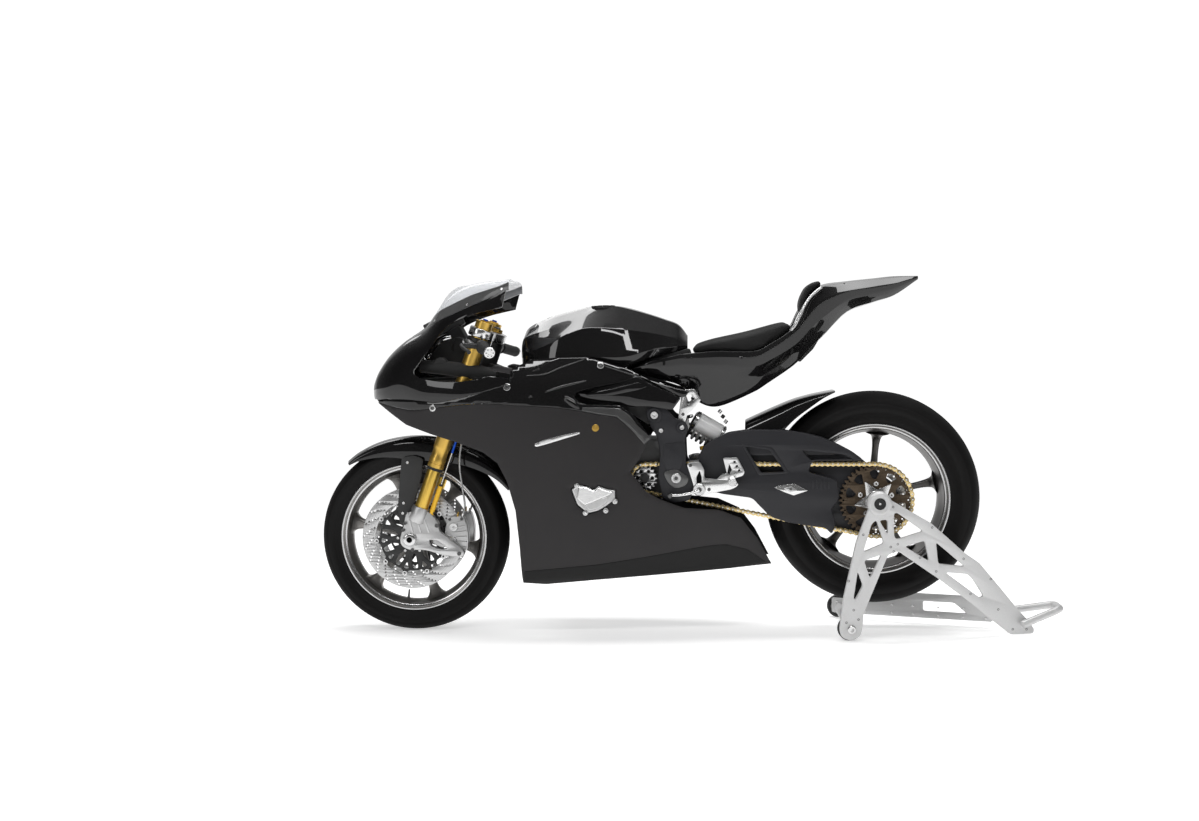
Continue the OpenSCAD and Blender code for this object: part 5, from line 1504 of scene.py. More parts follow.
@dataclass
class Nose:
    """The nose, the windshield and what is seen through the cockpit opening."""

    stations: tuple = (
        (-130, ((8, 745), (12, 752), (13, 758), (14, 764), (13, 769), (11, 773), (8, 776), (4, 778), (0, 778))),
        (-122, ((34, 734), (42, 744), (46, 756), (47, 768), (44, 778), (38, 787), (28, 793), (14, 796), (0, 797))),
        (-104, ((62, 722), (74, 738), (82, 756), (84, 774), (80, 792), (70, 810), (52, 824), (27, 832), (0, 834))),
        (-70, ((90, 706), (106, 728), (117, 754), (120, 780), (115, 806), (102, 834), (78, 860), (42, 876), (0, 880))),
        (-20, ((120, 694), (136, 722), (148, 756), (152, 790), (146, 824), (130, 860), (100, 894), (56, 918),
               (0, 925))),
        (50, ((152, 680), (168, 712), (180, 740), (182, 775), (178, 812), (166, 856), (138, 910), (80, 958), (0, 977))),
        (120, ((174, 676), (192, 708), (203, 738), (204, 775), (198, 815), (186, 868), (162, 950), (104, 1040),
               (0, 1078))),
        (200, ((188, 690), (208, 716), (219, 744), (219, 778), (212, 820), (198, 880), (176, 990), (124, 1086),
               (0, 1101))),
        (328, ((202, 720), (224, 744), (230, 768), (229, 792), (220, 830), (200, 900), (176, 1016), (166, 1104),
               (0, 1109))))

    def surface(self) -> Surface:
        """The left half of the nose as a smooth sheet; its last column is the middle line."""
        return Surface([[(x, -w, z) for w, z in half] for x, half in self.stations])

    def shell(self) -> None:
        """The nose below the shield, both halves joined along the middle."""
        sheet = self.surface()
        low, high = smooth(COCKPIT_LOW, 4), smooth(COCKPIT_HIGH, 4)
        outline = [(-130, 744), (-118, 738), (-100, 738), *map(tuple, smooth(SEAM, 4)), (334, 806),
                   *map(tuple, low[::-1]),
                   *map(tuple, high[::-1]), *SHIELD_EDGE, (-2, 960), (-60, 960), (-130, 860)]
        half = sheet.cut(outline, (), 10)
        shape = Shape("nose_shell_gloss")
        shape.add(half)
        shape.add(mirrored(half))
        shape.build(Body.CHASSIS, [GLOSS_BLACK], ["nose_fairing"], "gloss_carbon", crease=45, wall=WALL, bevel=0.6,
                    weld=0.3, outward=False)

    def shield(self) -> None:
        """The clear shield with its dark printed border and its screws."""
        sheet = self.surface()
        edge = [(x, z + 0.6) for x, z in SHIELD_EDGE[::-1]]
        outline = [*edge, (328, 1073), (328, 1104), (319, 1120), (200, 1120), (60, 1050), (0, 970)]
        half = sheet.cut(outline, (), 10)
        shape = Shape("windshield_clear")
        shape.add(half)
        shape.add(mirrored(half))
        shape.build(Body.CHASSIS, [SHIELD], ["windshield"], "clear_shield", crease=60, wall=1.6, weld=0.3,
                    outward=False)
        band = [*edge, (328, 1073), (328, 1100), (300, 1088), (210, 1062), (109, 1018), (22, 966), (6, 946)]
        border = inwards(sheet.cut(rounded(band, 2, 2), (), 14), -0.5)
        shape = Shape("windshield_border")
        shape.add(border)
        shape.add(mirrored(border))
        shape.build(Body.CHASSIS, [SHIELD_SMOKED], slot="clear_shield", crease=60, wall=1.2, outward=False)
        screws = Shape("windshield_screws")
        for x, z in ((86, 984), (196, 1032), (306, 1078)):
            uv = sheet.find([(x, z)])[0]
            u, v = np.array([uv[0]]), np.array([uv[1]])
            p = sheet.at(u, v)[0]
            n = np.cross(sheet.at(u + 0.01, v)[0] - p, sheet.at(u, v + 0.01)[0] - p)
            screws.add(cap_screw(3.6, 2.4), facing(p, n / np.linalg.norm(n)), 0, both=True)
        screws.build(Body.CHASSIS, [STEEL_BRIGHT], slot="silver_alloy", crease=30)

    def intake(self) -> None:
        """The dark mouth under the tip: a small lofted slot."""
        shape = Shape("nose_intake")
        rows = [(-116, 26, 738, 5), (-104, 40, 730, 9), (-84, 56, 724, 12), (-50, 74, 720, 14), (10, 84, 712, 14)]
        a = np.linspace(0, 2 * np.pi, 48, endpoint=False)
        c, s = np.cos(a), np.sin(a)
        k = (np.abs(c) ** 4 + np.abs(s) ** 4) ** -0.25
        net = [np.stack([np.full(len(a), x), w * c * k, z + h * s * k], -1) for x, w, z, h in
               [tuple(r) for r in smooth(rows, 4)]]
        shape.add(grid(np.array(net), close_v=True, caps=True))
        shape.build(Body.CHASSIS, [FLAT_BLACK], slot="black_alloy", crease=40)

    def build(self) -> None:
        """Builds the nose."""
        self.shell()
        self.shield()
        self.intake()


@dataclass
class Tank:
    """The fuel tank: faceted sections lofted from front to rear, with soft creases."""

    stations: tuple = (
        (354, ((0, 846), (50, 846), (72, 852), (80, 872), (77, 886), (66, 910), (0, 931))),
        (372, ((0, 826), (84, 826), (112, 842), (122, 862), (119, 882), (102, 931), (0, 962))),
        (442, ((0, 812), (112, 812), (150, 828), (165, 862), (157, 906), (98, 955), (0, 996))),
        (500, ((0, 812), (124, 812), (166, 830), (179, 866), (170, 936), (84, 977), (0, 1012))),
        (554, ((0, 812), (130, 812), (174, 830), (188, 868), (172, 955), (54, 1003), (0, 1024))),
        (600, ((0, 812), (132, 812), (174, 830), (189, 868), (168, 957), (22, 1026), (0, 1028))),
        (650, ((0, 814), (132, 814), (170, 830), (184, 866), (160, 954), (30, 1025), (0, 1027))),
        (697, ((0, 830), (126, 830), (160, 842), (174, 870), (146, 949), (44, 1014), (0, 1018))),
        (753, ((0, 856), (114, 856), (144, 864), (158, 886), (128, 941), (44, 998), (0, 1001))),
        (800, ((0, 868), (98, 868), (122, 876), (136, 894), (112, 932), (42, 982), (0, 985))),
        (844, ((0, 879), (80, 879), (100, 885), (111, 898), (92, 922), (36, 964), (0, 967))),
        (872, ((0, 887), (52, 887), (68, 890), (77, 898), (60, 912), (24, 930), (0, 932))))

    def build(self) -> None:
        """Builds the tank and its filler cap."""
        half = np.array([[(x, -w, z) for w, z in row] for x, row in self.stations], float)
        smoothed = np.stack([smooth(column, 8) for column in half.transpose(1, 0, 2)], 1)
        rows = np.stack([faceted(row) for row in smoothed])
        ring = np.concatenate([rows, (rows * [1, -1, 1])[:, -2:0:-1]], 1)
        shape = Shape("fuel_tank_gloss")
        shape.add(grid(ring, close_v=True, caps=True))
        shape.build(Body.CHASSIS, [GLOSS_BLACK], ["fuel_tank"], "gloss_carbon", crease=14, bevel=4.0)
        cap = Shape("fuel_cap")
        at = facing((606, 0, 1026.0), (-0.02, 0, 1))
        cap.add(lathe([[0, -6], [38, -6], [38, 1.2], [36, 2.2], [31, 2.2], [30, 1.0], [18, 1.0], [17, 3.4], [4, 4],
                       [0, 4]], 72, False), at)
        bolts(cap, [(34 * math.cos(t), 34 * math.sin(t), 1.6) for t in np.arange(6) * math.pi / 3], at, 2.6, 1.6, 1)
        cap.build(Body.CHASSIS, [SATIN_BLACK, STEEL_BRIGHT], slot="black_alloy", crease=30)


@dataclass
class Tail:
    """The self-supporting tail with its seat pad and bum stop."""

    stations: tuple = (
        (700, ((0, 824), (124, 824), (146, 825), (152, 827), (154, 829), (150, 830), (0, 830))),
        (753, ((0, 804), (116, 806), (140, 818), (149, 832), (151, 843), (146, 850), (0, 850))),
        (800, ((0, 790), (112, 793), (132, 810), (140, 836), (140, 852), (134, 861), (0, 861))),
        (844, ((0, 776), (106, 779), (126, 806), (134, 838), (136, 860), (128, 872), (0, 872))),
        (878, ((0, 752), (86, 757), (114, 798), (130, 838), (132, 862), (122, 876), (0, 876))),
        (912, ((0, 716), (82, 721), (110, 784), (130, 836), (132, 862), (121, 878.4), (0, 878.6))),
        (970, ((0, 706), (78, 711), (108, 784), (134, 834), (137, 864), (126, 882), (0, 883))),
        (1073, ((0, 748), (80, 753), (108, 802), (134, 834), (139, 864), (128, 881), (0, 882))),
        (1122, ((0, 778), (80, 783), (106, 826), (130, 852), (137, 884), (126, 901), (0, 902))),
        (1203, ((0, 834), (76, 839), (98, 876), (118, 900), (124, 938), (112, 957), (0, 958))),
        (1252, ((0, 884), (68, 890), (90, 926), (106, 950), (112, 996), (88, 1046), (0, 1052))),
        (1289, ((0, 918), (60, 925), (82, 960), (98, 982), (106, 1030), (76, 1077), (0, 1086))),
        (1366, ((0, 996), (48, 1001), (68, 1020), (82, 1036), (90, 1062), (62, 1089), (0, 1097))),
        (1450, ((0, 1028), (36, 1031), (52, 1044), (62, 1056), (68, 1074), (46, 1098), (0, 1105))),
        (1515, ((0, 1050), (25, 1052), (36, 1063), (43, 1072), (48, 1086), (30, 1105), (0, 1111))),
        (1590, ((0, 1100), (3, 1101), (5, 1103), (6, 1105), (6, 1107), (4, 1110), (0, 1111))))

    def cowl(self) -> None:
        """The tail cowl: straight lines between the section corners, smooth from front to rear."""
        half = np.array([[(x, -w, z) for w, z in row] for x, row in self.stations], float)
        smoothed = np.stack([smooth(column, 6) for column in half.transpose(1, 0, 2)], 1)
        rows = np.stack([faceted(row) for row in smoothed])
        ring = np.concatenate([rows, (rows * [1, -1, 1])[:, -2:0:-1]], 1)
        shape = Shape("tail_cowl_gloss")
        shape.add(grid(ring, close_v=True, caps=True))
        shape.build(Body.CHASSIS, [GLOSS_BLACK], ["tail_cowl"], "gloss_carbon", crease=24, bevel=1.6)
        vents = Shape("tail_underside")
        wedge = [(1222, 846), (1262, 886), (1292, 936), (1276, 934), (1240, 890), (1206, 852)]
        vents.add(plate(rounded(wedge, 3, 3), -48, 48, 1.0), on_side())
        vents.build(Body.CHASSIS, [FLAT_BLACK], slot="gloss_carbon", crease=30)
        # A silver tube along each side of the hump: a painted highlight that stands for the light-grey reflection on
        # the hump's upward side facet.
        hump_highlight = Shape("hump_painted_highlight")
        for sign in (-1, 1):
            line = np.array([(1190, 120, 944), (1206, 120, 966), (1226, 111, 1008), (1252, 95, 1047), (1286, 83, 1076)])
            rows = smooth(line, 5) * [1, sign, 1]
            hump_highlight.add(tube(rows, 4.6, 12, 1))
        hump_highlight.build(Body.CHASSIS, [SILVER_CAST], slot="silver_alloy", crease=60)

    def seat(self) -> None:
        """The foam pad: a swollen block between the seat line and its crowned top."""
        bottom = [(886, 877.5), (970, 884), (1073, 883.4), (1122, 903), (1196, 954)]
        top = [(884, 894), (946, 914), (1053, 937), (1150, 962), (1188, 966)]
        u = np.linspace(0, 4, 61)
        low, high = along(bottom, u), along(top, u)
        half_width = along([[70], [98], [101], [98], [84]], u)[:, 0]
        a = np.linspace(0, 2 * np.pi, 64, endpoint=False)
        c, s = np.cos(a), np.sin(a)
        k = (np.abs(c) ** 6 + np.abs(s) ** 6) ** (-1 / 6)
        middle, deep = (low + high) / 2, (high - low) / 2
        net = np.stack([middle[:, 0:1] + deep[:, 0:1] * (s * k), half_width[:, None] * (c * k),
                        middle[:, 1:2] + deep[:, 1:2] * (s * k)], -1)
        pad = soft_block("seat_pad_foam", grid(net, close_v=True, caps=True), 4.0, 6.0)
        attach(pad, Body.CHASSIS.value)
        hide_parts("seat_pad")
        bottom = [(1224, 995), (1252, 1053), (1290, 1088)]
        top = [(1222, 1024), (1243, 1078), (1282, 1097)]
        u = np.linspace(0, 2, 31)
        low, high = along(bottom, u), along(top, u)
        half_width = along([[62], [68], [56]], u)[:, 0]
        middle, deep = (low + high) / 2, (high - low) / 2
        net = np.stack([middle[:, 0:1] + deep[:, 0:1] * (s * k), half_width[:, None] * (c * k),
                        middle[:, 1:2] + deep[:, 1:2] * (s * k)], -1)
        stop = soft_block("bum_stop_foam", grid(net, close_v=True, caps=True), 4.0, 6.0)
        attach(stop, Body.CHASSIS.value)
        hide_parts("bum_stop")

    def build(self) -> None:
        """Builds the tail."""
        self.cowl()
        self.seat()


def soft_block(name: str, solid: Solid, pressure: float, cap: float) -> bpy.types.Object:
    """A foam piece: remeshed, swollen as cloth under pressure, held to a cap, and smoothed once.

    Args:
        name: The piece's name.
        solid: The shape before it swells.
        pressure: The cloth pressure.
        cap: The most, in millimetres, that a point may move.
    Returns:
        The piece, dressed and without modifiers.
    """
    mesh = bpy.data.meshes.new(name)
    mesh.from_pydata(((solid.points - [MID_X, 0, 0]) / 1000).tolist(), [],
                     [tuple(f) for faces in solid.faces for f in faces.tolist()])
    b = bmesh.new()
    b.from_mesh(mesh)
    bmesh.ops.recalc_face_normals(b, faces=b.faces)
    b.to_mesh(mesh)
    b.free()
    piece = bpy.data.objects.new(name, mesh)
    bpy.context.scene.collection.objects.link(piece)

    def apply_all() -> None:
        """Applies every modifier of the piece."""
        with bpy.context.temp_override(object=piece, active_object=piece, selected_objects=[piece]):
            for m in list(piece.modifiers):
                bpy.ops.object.modifier_apply(modifier=m.name)

    remesh = piece.modifiers.new("even", "REMESH")
    remesh.mode, remesh.voxel_size = "VOXEL", 0.005
    apply_all()
    count = len(piece.data.vertices)
    rest = np.empty(count * 3)
    piece.data.vertices.foreach_get("co", rest)
    cloth = piece.modifiers.new("swell", "CLOTH")
    cloth.settings.use_pressure, cloth.settings.uniform_pressure_force = True, pressure
    cloth.settings.effector_weights.gravity = 0
    cloth.settings.tension_stiffness = cloth.settings.compression_stiffness = 15
    for step in range(1, 21):
        bpy.context.scene.frame_set(step)
    moved = np.empty(count * 3)
    piece.evaluated_get(bpy.context.evaluated_depsgraph_get()).data.vertices.foreach_get("co", moved)
    piece.modifiers.remove(cloth)
    bpy.context.scene.frame_set(1)
    rest, moved = rest.reshape(-1, 3), moved.reshape(-1, 3)
    shift = moved - rest
    far = np.linalg.norm(shift, axis=1, keepdims=True)
    shift *= np.minimum(1, cap / 1000 / np.maximum(far, 1e-9))
    piece.data.vertices.foreach_set("co", (rest + shift).ravel())
    piece.data.update()
    finer = piece.modifiers.new("finer", "SUBSURF")
    finer.levels = finer.render_levels = 1
    apply_all()
    piece.data.polygons.foreach_set("use_smooth", np.ones(len(piece.data.polygons), bool))
    piece.data.materials.append(SEAT_FOAM.material())
    log.info("%s: %d faces", name, len(piece.data.polygons))
    return piece


@dataclass
class Cockpit:
    """What is seen in the cockpit opening, and the covers between nose, tank and pivot plate."""

    def gear(self) -> None:
        """The dark bracket, the air duct, the instrument and small silver mounts."""
        shape = Shape("cockpit_bracket")
        frame = [(34, 826), (52, 812), (150, 800), (236, 800), (300, 812), (262, 830), (214, 846), (182, 884),
                 (172, 930), (150, 972),
                 (116, 950), (88, 910), (60, 876)]
        shape.add(plate(rounded(frame, 8, 4), -42, 42, 3.0), on_side())
        shape.add(tube([(40, -100, 842), (110, -112, 838), (190, -118, 826), (280, -120, 812)], [20, 22, 23, 22], 28,
                       8), both=True)
        shape.add(rod(22, -20, 20, 32, 3.0), on_side(104, -108, 848), both=True)
        shape.build(Body.CHASSIS, [FLAT_BLACK], slot="black_alloy", crease=38)
        dash = Shape("instrument_case")
        dash.add(plate(rounded([(-14, -62), (-14, 62), (14, 62), (14, -62)], 4, 4), -28, 28, 3.0),
                 facing((98, 0, 974), (-0.5, 0, 1)))
        for x, z, r in ((46, 852, 9), (70, 838, 7), (58, 872, 6)):
            dash.add(rod(r, 62, 76, 24), on_side(x, 0, z), 1, both=True)
            dash.add(star_bolt(r * 0.6, 3), on_side(x, -76, z), 2, both=True)
        dash.add(tube([(34, -86, 880), (52, -92, 858), (62, -94, 836)], 5.0, 14, 6), finish=1, both=True)
        dash.add(tube([(92, -80, 914), (112, -96, 926), (136, -100, 932)], [6, 8, 6], 16, 6), finish=1, both=True)
        dash.build(Body.CHASSIS, [SATIN_BLACK, SILVER_MACHINED, STEEL_DARK], slot="black_alloy", crease=35)

    def covers(self) -> None:
        """Hand pods, and the gloss covers over the frame with their raised ribs."""
        shape = Shape("hand_pods")
        pod = [(272, 838), (292, 845), (318, 840), (345, 834), (372, 828), (400, 831), (428, 836), (408, 820),
               (352, 811), (328, 820), (280, 828)]
        shape.add(plate(rounded(pod, 6, 5), 190, 219, 6.0), on_side(), both=True)
        shape.build(Body.CHASSIS, [SATIN_CARBON], slot="gloss_carbon", crease=30)
        cover = Shape("frame_covers_gloss")
        outer = [(511, 764), (567, 781), (655, 796), (719, 810), (756, 788), (853, 740), (826, 704), (758, 715),
                 (702, 715), (662, 721),
                 (567, 738), (532, 748)]
        cover.add(plate(rounded(outer, 6, 4), 176, 201, 6.0), on_side(), both=True)
        cover.add(plate(rounded([(560, 756), (650, 772), (722, 790), (750, 776), (722, 766), (650, 752), (572, 748)], 4,
                                4), 200, 204, 2.0),
                  on_side(), both=True)
        cover.add(plate(rounded([(724, 808), (838, 770), (880, 762), (866, 744), (852, 742), (760, 790)], 5, 4), 168,
                        190, 4.0), on_side(), both=True)
        cover.build(Body.CHASSIS, [GLOSS_BLACK], slot="gloss_carbon", crease=30)
        filler = Shape("under_tank_filler")
        filler.add(plate(rounded([(690, 836), (760, 862), (878, 892), (884, 872), (846, 800), (760, 780), (700, 790)],
                                 8, 4), -104, 104, 3.0),
                   on_side())
        filler.build(Body.CHASSIS, [FLAT_BLACK], slot="black_alloy", crease=30)

    def build(self) -> None:
        """Builds the cockpit parts and the covers."""
        self.gear()
        self.covers()


# ---- front end ---------------------------------------------------------------------------------
@dataclass
class FrontEnd:
    """All that turns with the steering: fork, clamps, bars, brakes and fender."""

    leg_y: float = 105.0
    outer_r: float = 27.0
    inner_r: float = 21.5
    split: float = 240.0
    top: float = 721.0
    lower_clamp: float = 470.0
    upper_clamp: float = 670.0
    bar_root: tuple = (220.0, -105.0, 912.0)
    bar_end: tuple = (288.0, -330.0, 883.0)

    def leg(self) -> np.ndarray:
        """Local Z runs up the left fork leg."""
        return on_fork(-self.leg_y)

    def tubes(self) -> None:
        """Gold outer tubes with a stepped lower end, thinner gold tubes below, and top adjusters."""
        s, r = self.split, self.outer_r
        shape = Shape("fork_tubes_upper")
        shape.add(lathe([[21.7, s], [25.5, s], [26.6, s + 1.2], [26.6, s + 12], [25.2, s + 13], [25.2, s + 17],
                         [26.2, s + 18],
                         [26.2, s + 30], [24.4, s + 34], [24.4, s + 58], [26.4, s + 64], [r, s + 70], [r, 462],
                         [r, 720], [25.6, 721],
                         [21, 721], [20, 719], [0.5, 719]], 64, False), self.leg(), both=True)
        shape.build(Body.STEERING, [GOLD], ["fork_outer_tubes"], "gold_anodised", crease=35)
        shape = Shape("fork_tubes_lower")
        shape.add(lathe([[0.5, 72], [21, 72], [self.inner_r, 74], [self.inner_r, s + 20], [21, s + 22], [0.5, s + 22]],
                        56, False),
                  self.leg(), both=True)
        shape.build(Body.STEERING, [GOLD_HARD], ["fork_inner_tubes"], "gold_anodised", crease=35)
        shape = Shape("fork_top_adjusters")
        hexagon = circle(0, 0, 15, 6)
        shape.add(plate(hexagon, 718, 725, 1.0), self.leg(), 0, both=True)
        shape.add(rod(8, 724, 730, 24), self.leg(), 1, both=True)
        shape.add(lathe([[21.5, s - 9], [24.5, s - 9], [25.5, s - 7], [25.5, s], [21.5, s]], 48), self.leg(), 2,
                  both=True)
        shape.build(Body.STEERING, [YELLOW, BLUE, FLAT_BLACK], slot="gold_anodised", crease=35)

    def feet(self) -> None:
        """Cast axle lugs with a clamp round each lower tube, pinch bolts and a caliper arm."""
        shape = Shape("fork_feet_cast")
        outline = [(-12, 384), (26, 392), (62, 388), (92, 352), (92, 326), (132, 296), (170, 268), (172, 252),
                   (160, 244),
                   (104, 250), (60, 264), (34, 268), (-2, 266), (-26, 278), (-33, 300), (-26, 322), (-18, 350)]
        hole = circle(0, 300, 12.4, 40)
        pocket = rounded([(60, 300), (88, 296), (120, 272), (96, 268), (66, 280)], 8, 5)
        shape.add(plate(rounded(outline, 14, 5), 90, 120, 4.0, [hole, pocket]), on_side(), both=True)
        shape.add(plate(rounded([(70, 306), (92, 302), (118, 276), (98, 272), (70, 286)], 5, 4), 92, 104, 1.0),
                  on_side(), both=True)
        shape.add(lathe([[21.4, 58], [26, 58], [28, 61], [28, 104], [26.5, 107], [21.4, 107]], 48), self.leg(),
                  both=True)
        shape.add(lathe([[12.6, 86], [20, 86], [22, 88], [22, 122], [20, 124], [12.6, 124]], 48), on_side(0, 0, 300),
                  both=True)
        for x, z in ((-20, 330), (-14, 352), (8, 268)):
            shape.add(star_bolt(5.4, 5), on_side(x, -119.5, z), 1, both=True)
        bolts(shape, [(156, 256, 120), (86, 344, 119.6)], on_side(), 6.4, 5.0, 1, both=True)
        for k in range(3):
            rib = [(-8 + 22 * k, 386), (-3 + 22 * k, 386), (12 + 26 * k, 322), (7 + 26 * k, 322)]
            shape.add(plate(rib, 119, 122, 0.9), on_side(), both=True)
        shape.build(Body.STEERING, [SILVER_CAST, STEEL_DARK], ["fork_feet"], "silver_alloy", crease=40)
        axle = Shape("front_axle_hollow")
        axle.add(lathe([[9, -125], [11.5, -125], [12.5, -124], [12.5, 124], [11.5, 125], [9, 125]], 40), ON_FRONT)
        for sign in (1, -1):
            at = ON_FRONT if sign > 0 else ON_FRONT @ turn("X", 180)
            axle.add(lathe([[9.2, 124], [17, 124], [18.5, 126], [18.5, 128], [16, 129.5], [9.2, 129.5]], 40), at, 1)
        axle.build(Body.STEERING, [STEEL_DARK, STEEL_BRIGHT], ["front_axle"], "black_alloy", crease=35)

    def calipers(self) -> None:
        """Two-part calipers that bridge the disc, with fins, piston caps and a gold bleed screw."""
        shape = Shape("brake_calipers_finned")
        outline = rounded([(114, 264), (150, 258), (170, 268), (180, 318), (168, 368), (128, 370), (108, 340),
                           (104, 300)], 10, 5)
        shape.add(plate(outline, 78.5, 90, 2.6), on_side(), both=True)
        shape.add(plate(outline, 54.5, 65.5, 2.0), on_side(), both=True)
        a = np.radians(np.linspace(-12, 22, 18))
        outer = np.stack([180 * np.cos(a), 300 + 180 * np.sin(a)], -1)
        inner = np.stack([167 * np.cos(a), 300 + 167 * np.sin(a)], -1)[::-1]
        shape.add(plate(np.concatenate([outer, inner]), 56, 89, 1.4), on_side(), both=True)
        for k in range(6):
            t = math.radians(-9 + 5.6 * k)
            c, s = math.cos(t), math.sin(t)
            fin = [(140 * c - 1.1 * s, 300 + 140 * s + 1.1 * c), (176 * c - 1.1 * s, 300 + 176 * s + 1.1 * c),
                   (176 * c + 1.1 * s, 300 + 176 * s - 1.1 * c), (140 * c + 1.1 * s, 300 + 140 * s - 1.1 * c)]
            shape.add(plate(fin, 88, 96, 0.5), on_side(), both=True)
        for x, z in ((130, 292), (134, 336)):
            shape.add(lathe([[4, 88], [13, 88], [14, 90], [14, 93.5], [12.5, 95], [9, 95], [8, 93], [4, 93]], 36),
                      on_side(x, 0, z), 1, both=True)
        bolts(shape, [(118, 272, 90), (122, 360, 90), (160, 362, 90)], on_side(), 4.6, 4.0, 2, both=True)
        shape.add(lathe([[0.5, 0], [3.4, 0], [3.4, 6], [2.2, 8], [2.2, 14], [0.5, 14]], 14, False),
                  facing((146, -84, 369), (0.2, 0, 1)), 3,
                  both=True)
        shape.build(Body.STEERING, [SILVER_CAST, SILVER_MACHINED, STEEL_DARK, GOLD], ["front_calipers"], "silver_alloy",
                    crease=40)

    def fender(self) -> None:
        """The fender: sections across the tyre, each at an angle round the axle, and its two legs."""
        stations = ((131, 321, 6), (124, 321, 16), (114, 319.5, 32), (104, 318, 46), (92, 318, 60), (80, 320, 62),
                    (66, 326, 54),
                    (50, 342, 42), (36, 358, 27), (26, 362, 12))
        rows = []
        for angle, r, depth in stations:
            t = math.radians(angle)
            row = []
            for v, drop in ((-1, depth), (-1.005, depth * 0.55), (-0.97, depth * 0.18), (-0.84, -1), (-0.6, -6),
                            (-0.3, -9), (0, -10),
                            (0.3, -9), (0.6, -6), (0.84, -1), (0.97, depth * 0.18), (1.005, depth * 0.55), (1, depth)):
                q = r - 10 - drop
                row.append((q * math.cos(t), v * 67.5, 300 + q * math.sin(t)))
            rows.append(row)
        net = np.array(rows)
        net = np.stack([smooth(net[:, j], 8) for j in range(net.shape[1])], 1)
        net = np.stack([smooth(row, 5) for row in net], 0)
        shape = Shape("front_fender_gloss")
        shape.add(grid(net[:, ::-1]))
        shape.build(Body.STEERING, [GLOSS_BLACK], ["front_fender"], "gloss_carbon", crease=50, wall=-2.6, bevel=0.4,
                    outward=False)
        leg = Shape("fender_legs")
        outline = rounded([(-43, 396), (-37, 344), (-22, 338), (-6, 346), (6, 394), (34, 500), (40, 552), (10, 562),
                           (-28, 556), (-34, 505)], 8, 5)
        leg.add(plate(outline, 84, 88.5, 1.0), on_side(), both=True)
        leg.add(plate(rounded([(-26, 548), (-26, 530), (30, 530), (30, 550)], 4, 3), 64, 85, 1.0), on_side(), both=True)
        bolts(leg, [(-27, 380, 88.5), (-24, 412, 88.5), (-10, 540, 88.5)], on_side(), 4.6, 3.0, 1, both=True)
        leg.build(Body.STEERING, [SATIN_BLACK, STEEL_BRIGHT], slot="black_alloy", crease=35)

    def gear(self) -> None:
        """The travel sensor beside the left leg, its blue rod, and the braided brake hoses."""
        shape = Shape("fork_travel_sensor")
        axis = self.leg()
        shape.add(rod(8, 96, 190, 24), axis @ move(36, -4, 0), 0)
        shape.add(rod(5.4, 186, 196, 20), axis @ move(36, -4, 0), 3)
        shape.add(rod(2.4, 190, 360, 14), axis @ move(36, -4, 0), 1)
        shape.add(rod(4.6, 300, 420, 14), axis @ move(36, -4, 0), 2)
        shape.add(plate(rounded([(8, -6), (44, -6), (44, 6), (8, 6)], 3, 3), 100, 106, 0.8), axis @ move(0, -4, 0), 3)
        shape.build(Body.STEERING, [YELLOW, STEEL_BRIGHT, BLUE, SATIN_BLACK], slot="gold_anodised", crease=35)
        hose = Shape("brake_hoses_braided")
        left = [(160, -78, 366), (170, -86, 402), (166, -104, 460), (160, -118, 540), (172, -126, 620),
                (192, -122, 690), (206, -96, 760),
                (196, -60, 830)]
        hose.add(tube(left, 3.1, 12, 8), both=True)
        hose.add(tube([(196, -60, 830), (170, -30, 838), (170, 30, 838), (196, 60, 830)], 3.1, 12, 8))
        hose.add(tube([(160, -78, 352), (160, -78, 366), (163, -79, 378)], 4.6, 12, 4), finish=1, both=True)
        hose.build(Body.STEERING, [BRAID, STEEL_BRIGHT], slot="black_alloy", crease=60)

    def clamps(self) -> None:
        """Both fork clamps: a waisted plate with split ears, pockets and pinch bolts."""
        for name, s, node in (("upper", self.upper_clamp, "upper_clamp"), ("lower", self.lower_clamp, "lower_clamp")):
            y = self.leg_y
            side = [(-14, y + 40), (14, y + 40), (40, y + 18), (42, y - 24), (60, 40), (66, 16), (66, -16), (60, -40),
                    (42, 24 - y),
                    (40, -y - 18), (14, -y - 40), (-14, -y - 40), (-38, -y - 16), (-36, 26 - y), (-12, -40), (-10, 40),
                    (-36, y - 26),
                    (-38, y + 16)]
            holes = [circle(0, y, 27, 48), circle(0, -y, 27, 48)]
            if name == "upper":
                holes += [rounded([(2, 22), (20, 30), (22, 66), (4, 72)], 5, 4),
                          rounded([(2, -22), (20, -30), (22, -66), (4, -72)], 5, 4)]
            shape = Shape(f"fork_clamp_{name}")
            shape.add(plate(rounded(side, 12, 5), s, s + 28, 3.0, holes), on_fork())
            for sign in (1, -1):
                for x in (-24, 24):
                    shape.add(cap_screw(4.4, 4), on_fork() @ move(x, sign * (y + 32), s + 14) @ turn("X", -90 * sign),
                              1)
            if name == "lower":
                shape.add(rod(15, s, self.upper_clamp + 40, 32), on_fork() @ move(30, 0, 0), 1)
            else:
                shape.add(plate(circle(0, 0, 19, 6), s + 28, s + 40, 1.2), on_fork() @ move(30, 0, 0), 2)
                shape.add(rod(11, s + 40, s + 45, 32), on_fork() @ move(30, 0, 0), 1)
            shape.build(Body.STEERING, [SILVER_MACHINED, STEEL_DARK, GOLD], [node], "silver_alloy", crease=35)

    def along_bar(self, t: float) -> np.ndarray:
        """The point a share t of the way along the left bar."""
        a, b = np.array(self.bar_root), np.array(self.bar_end)
        return a + (b - a) * t

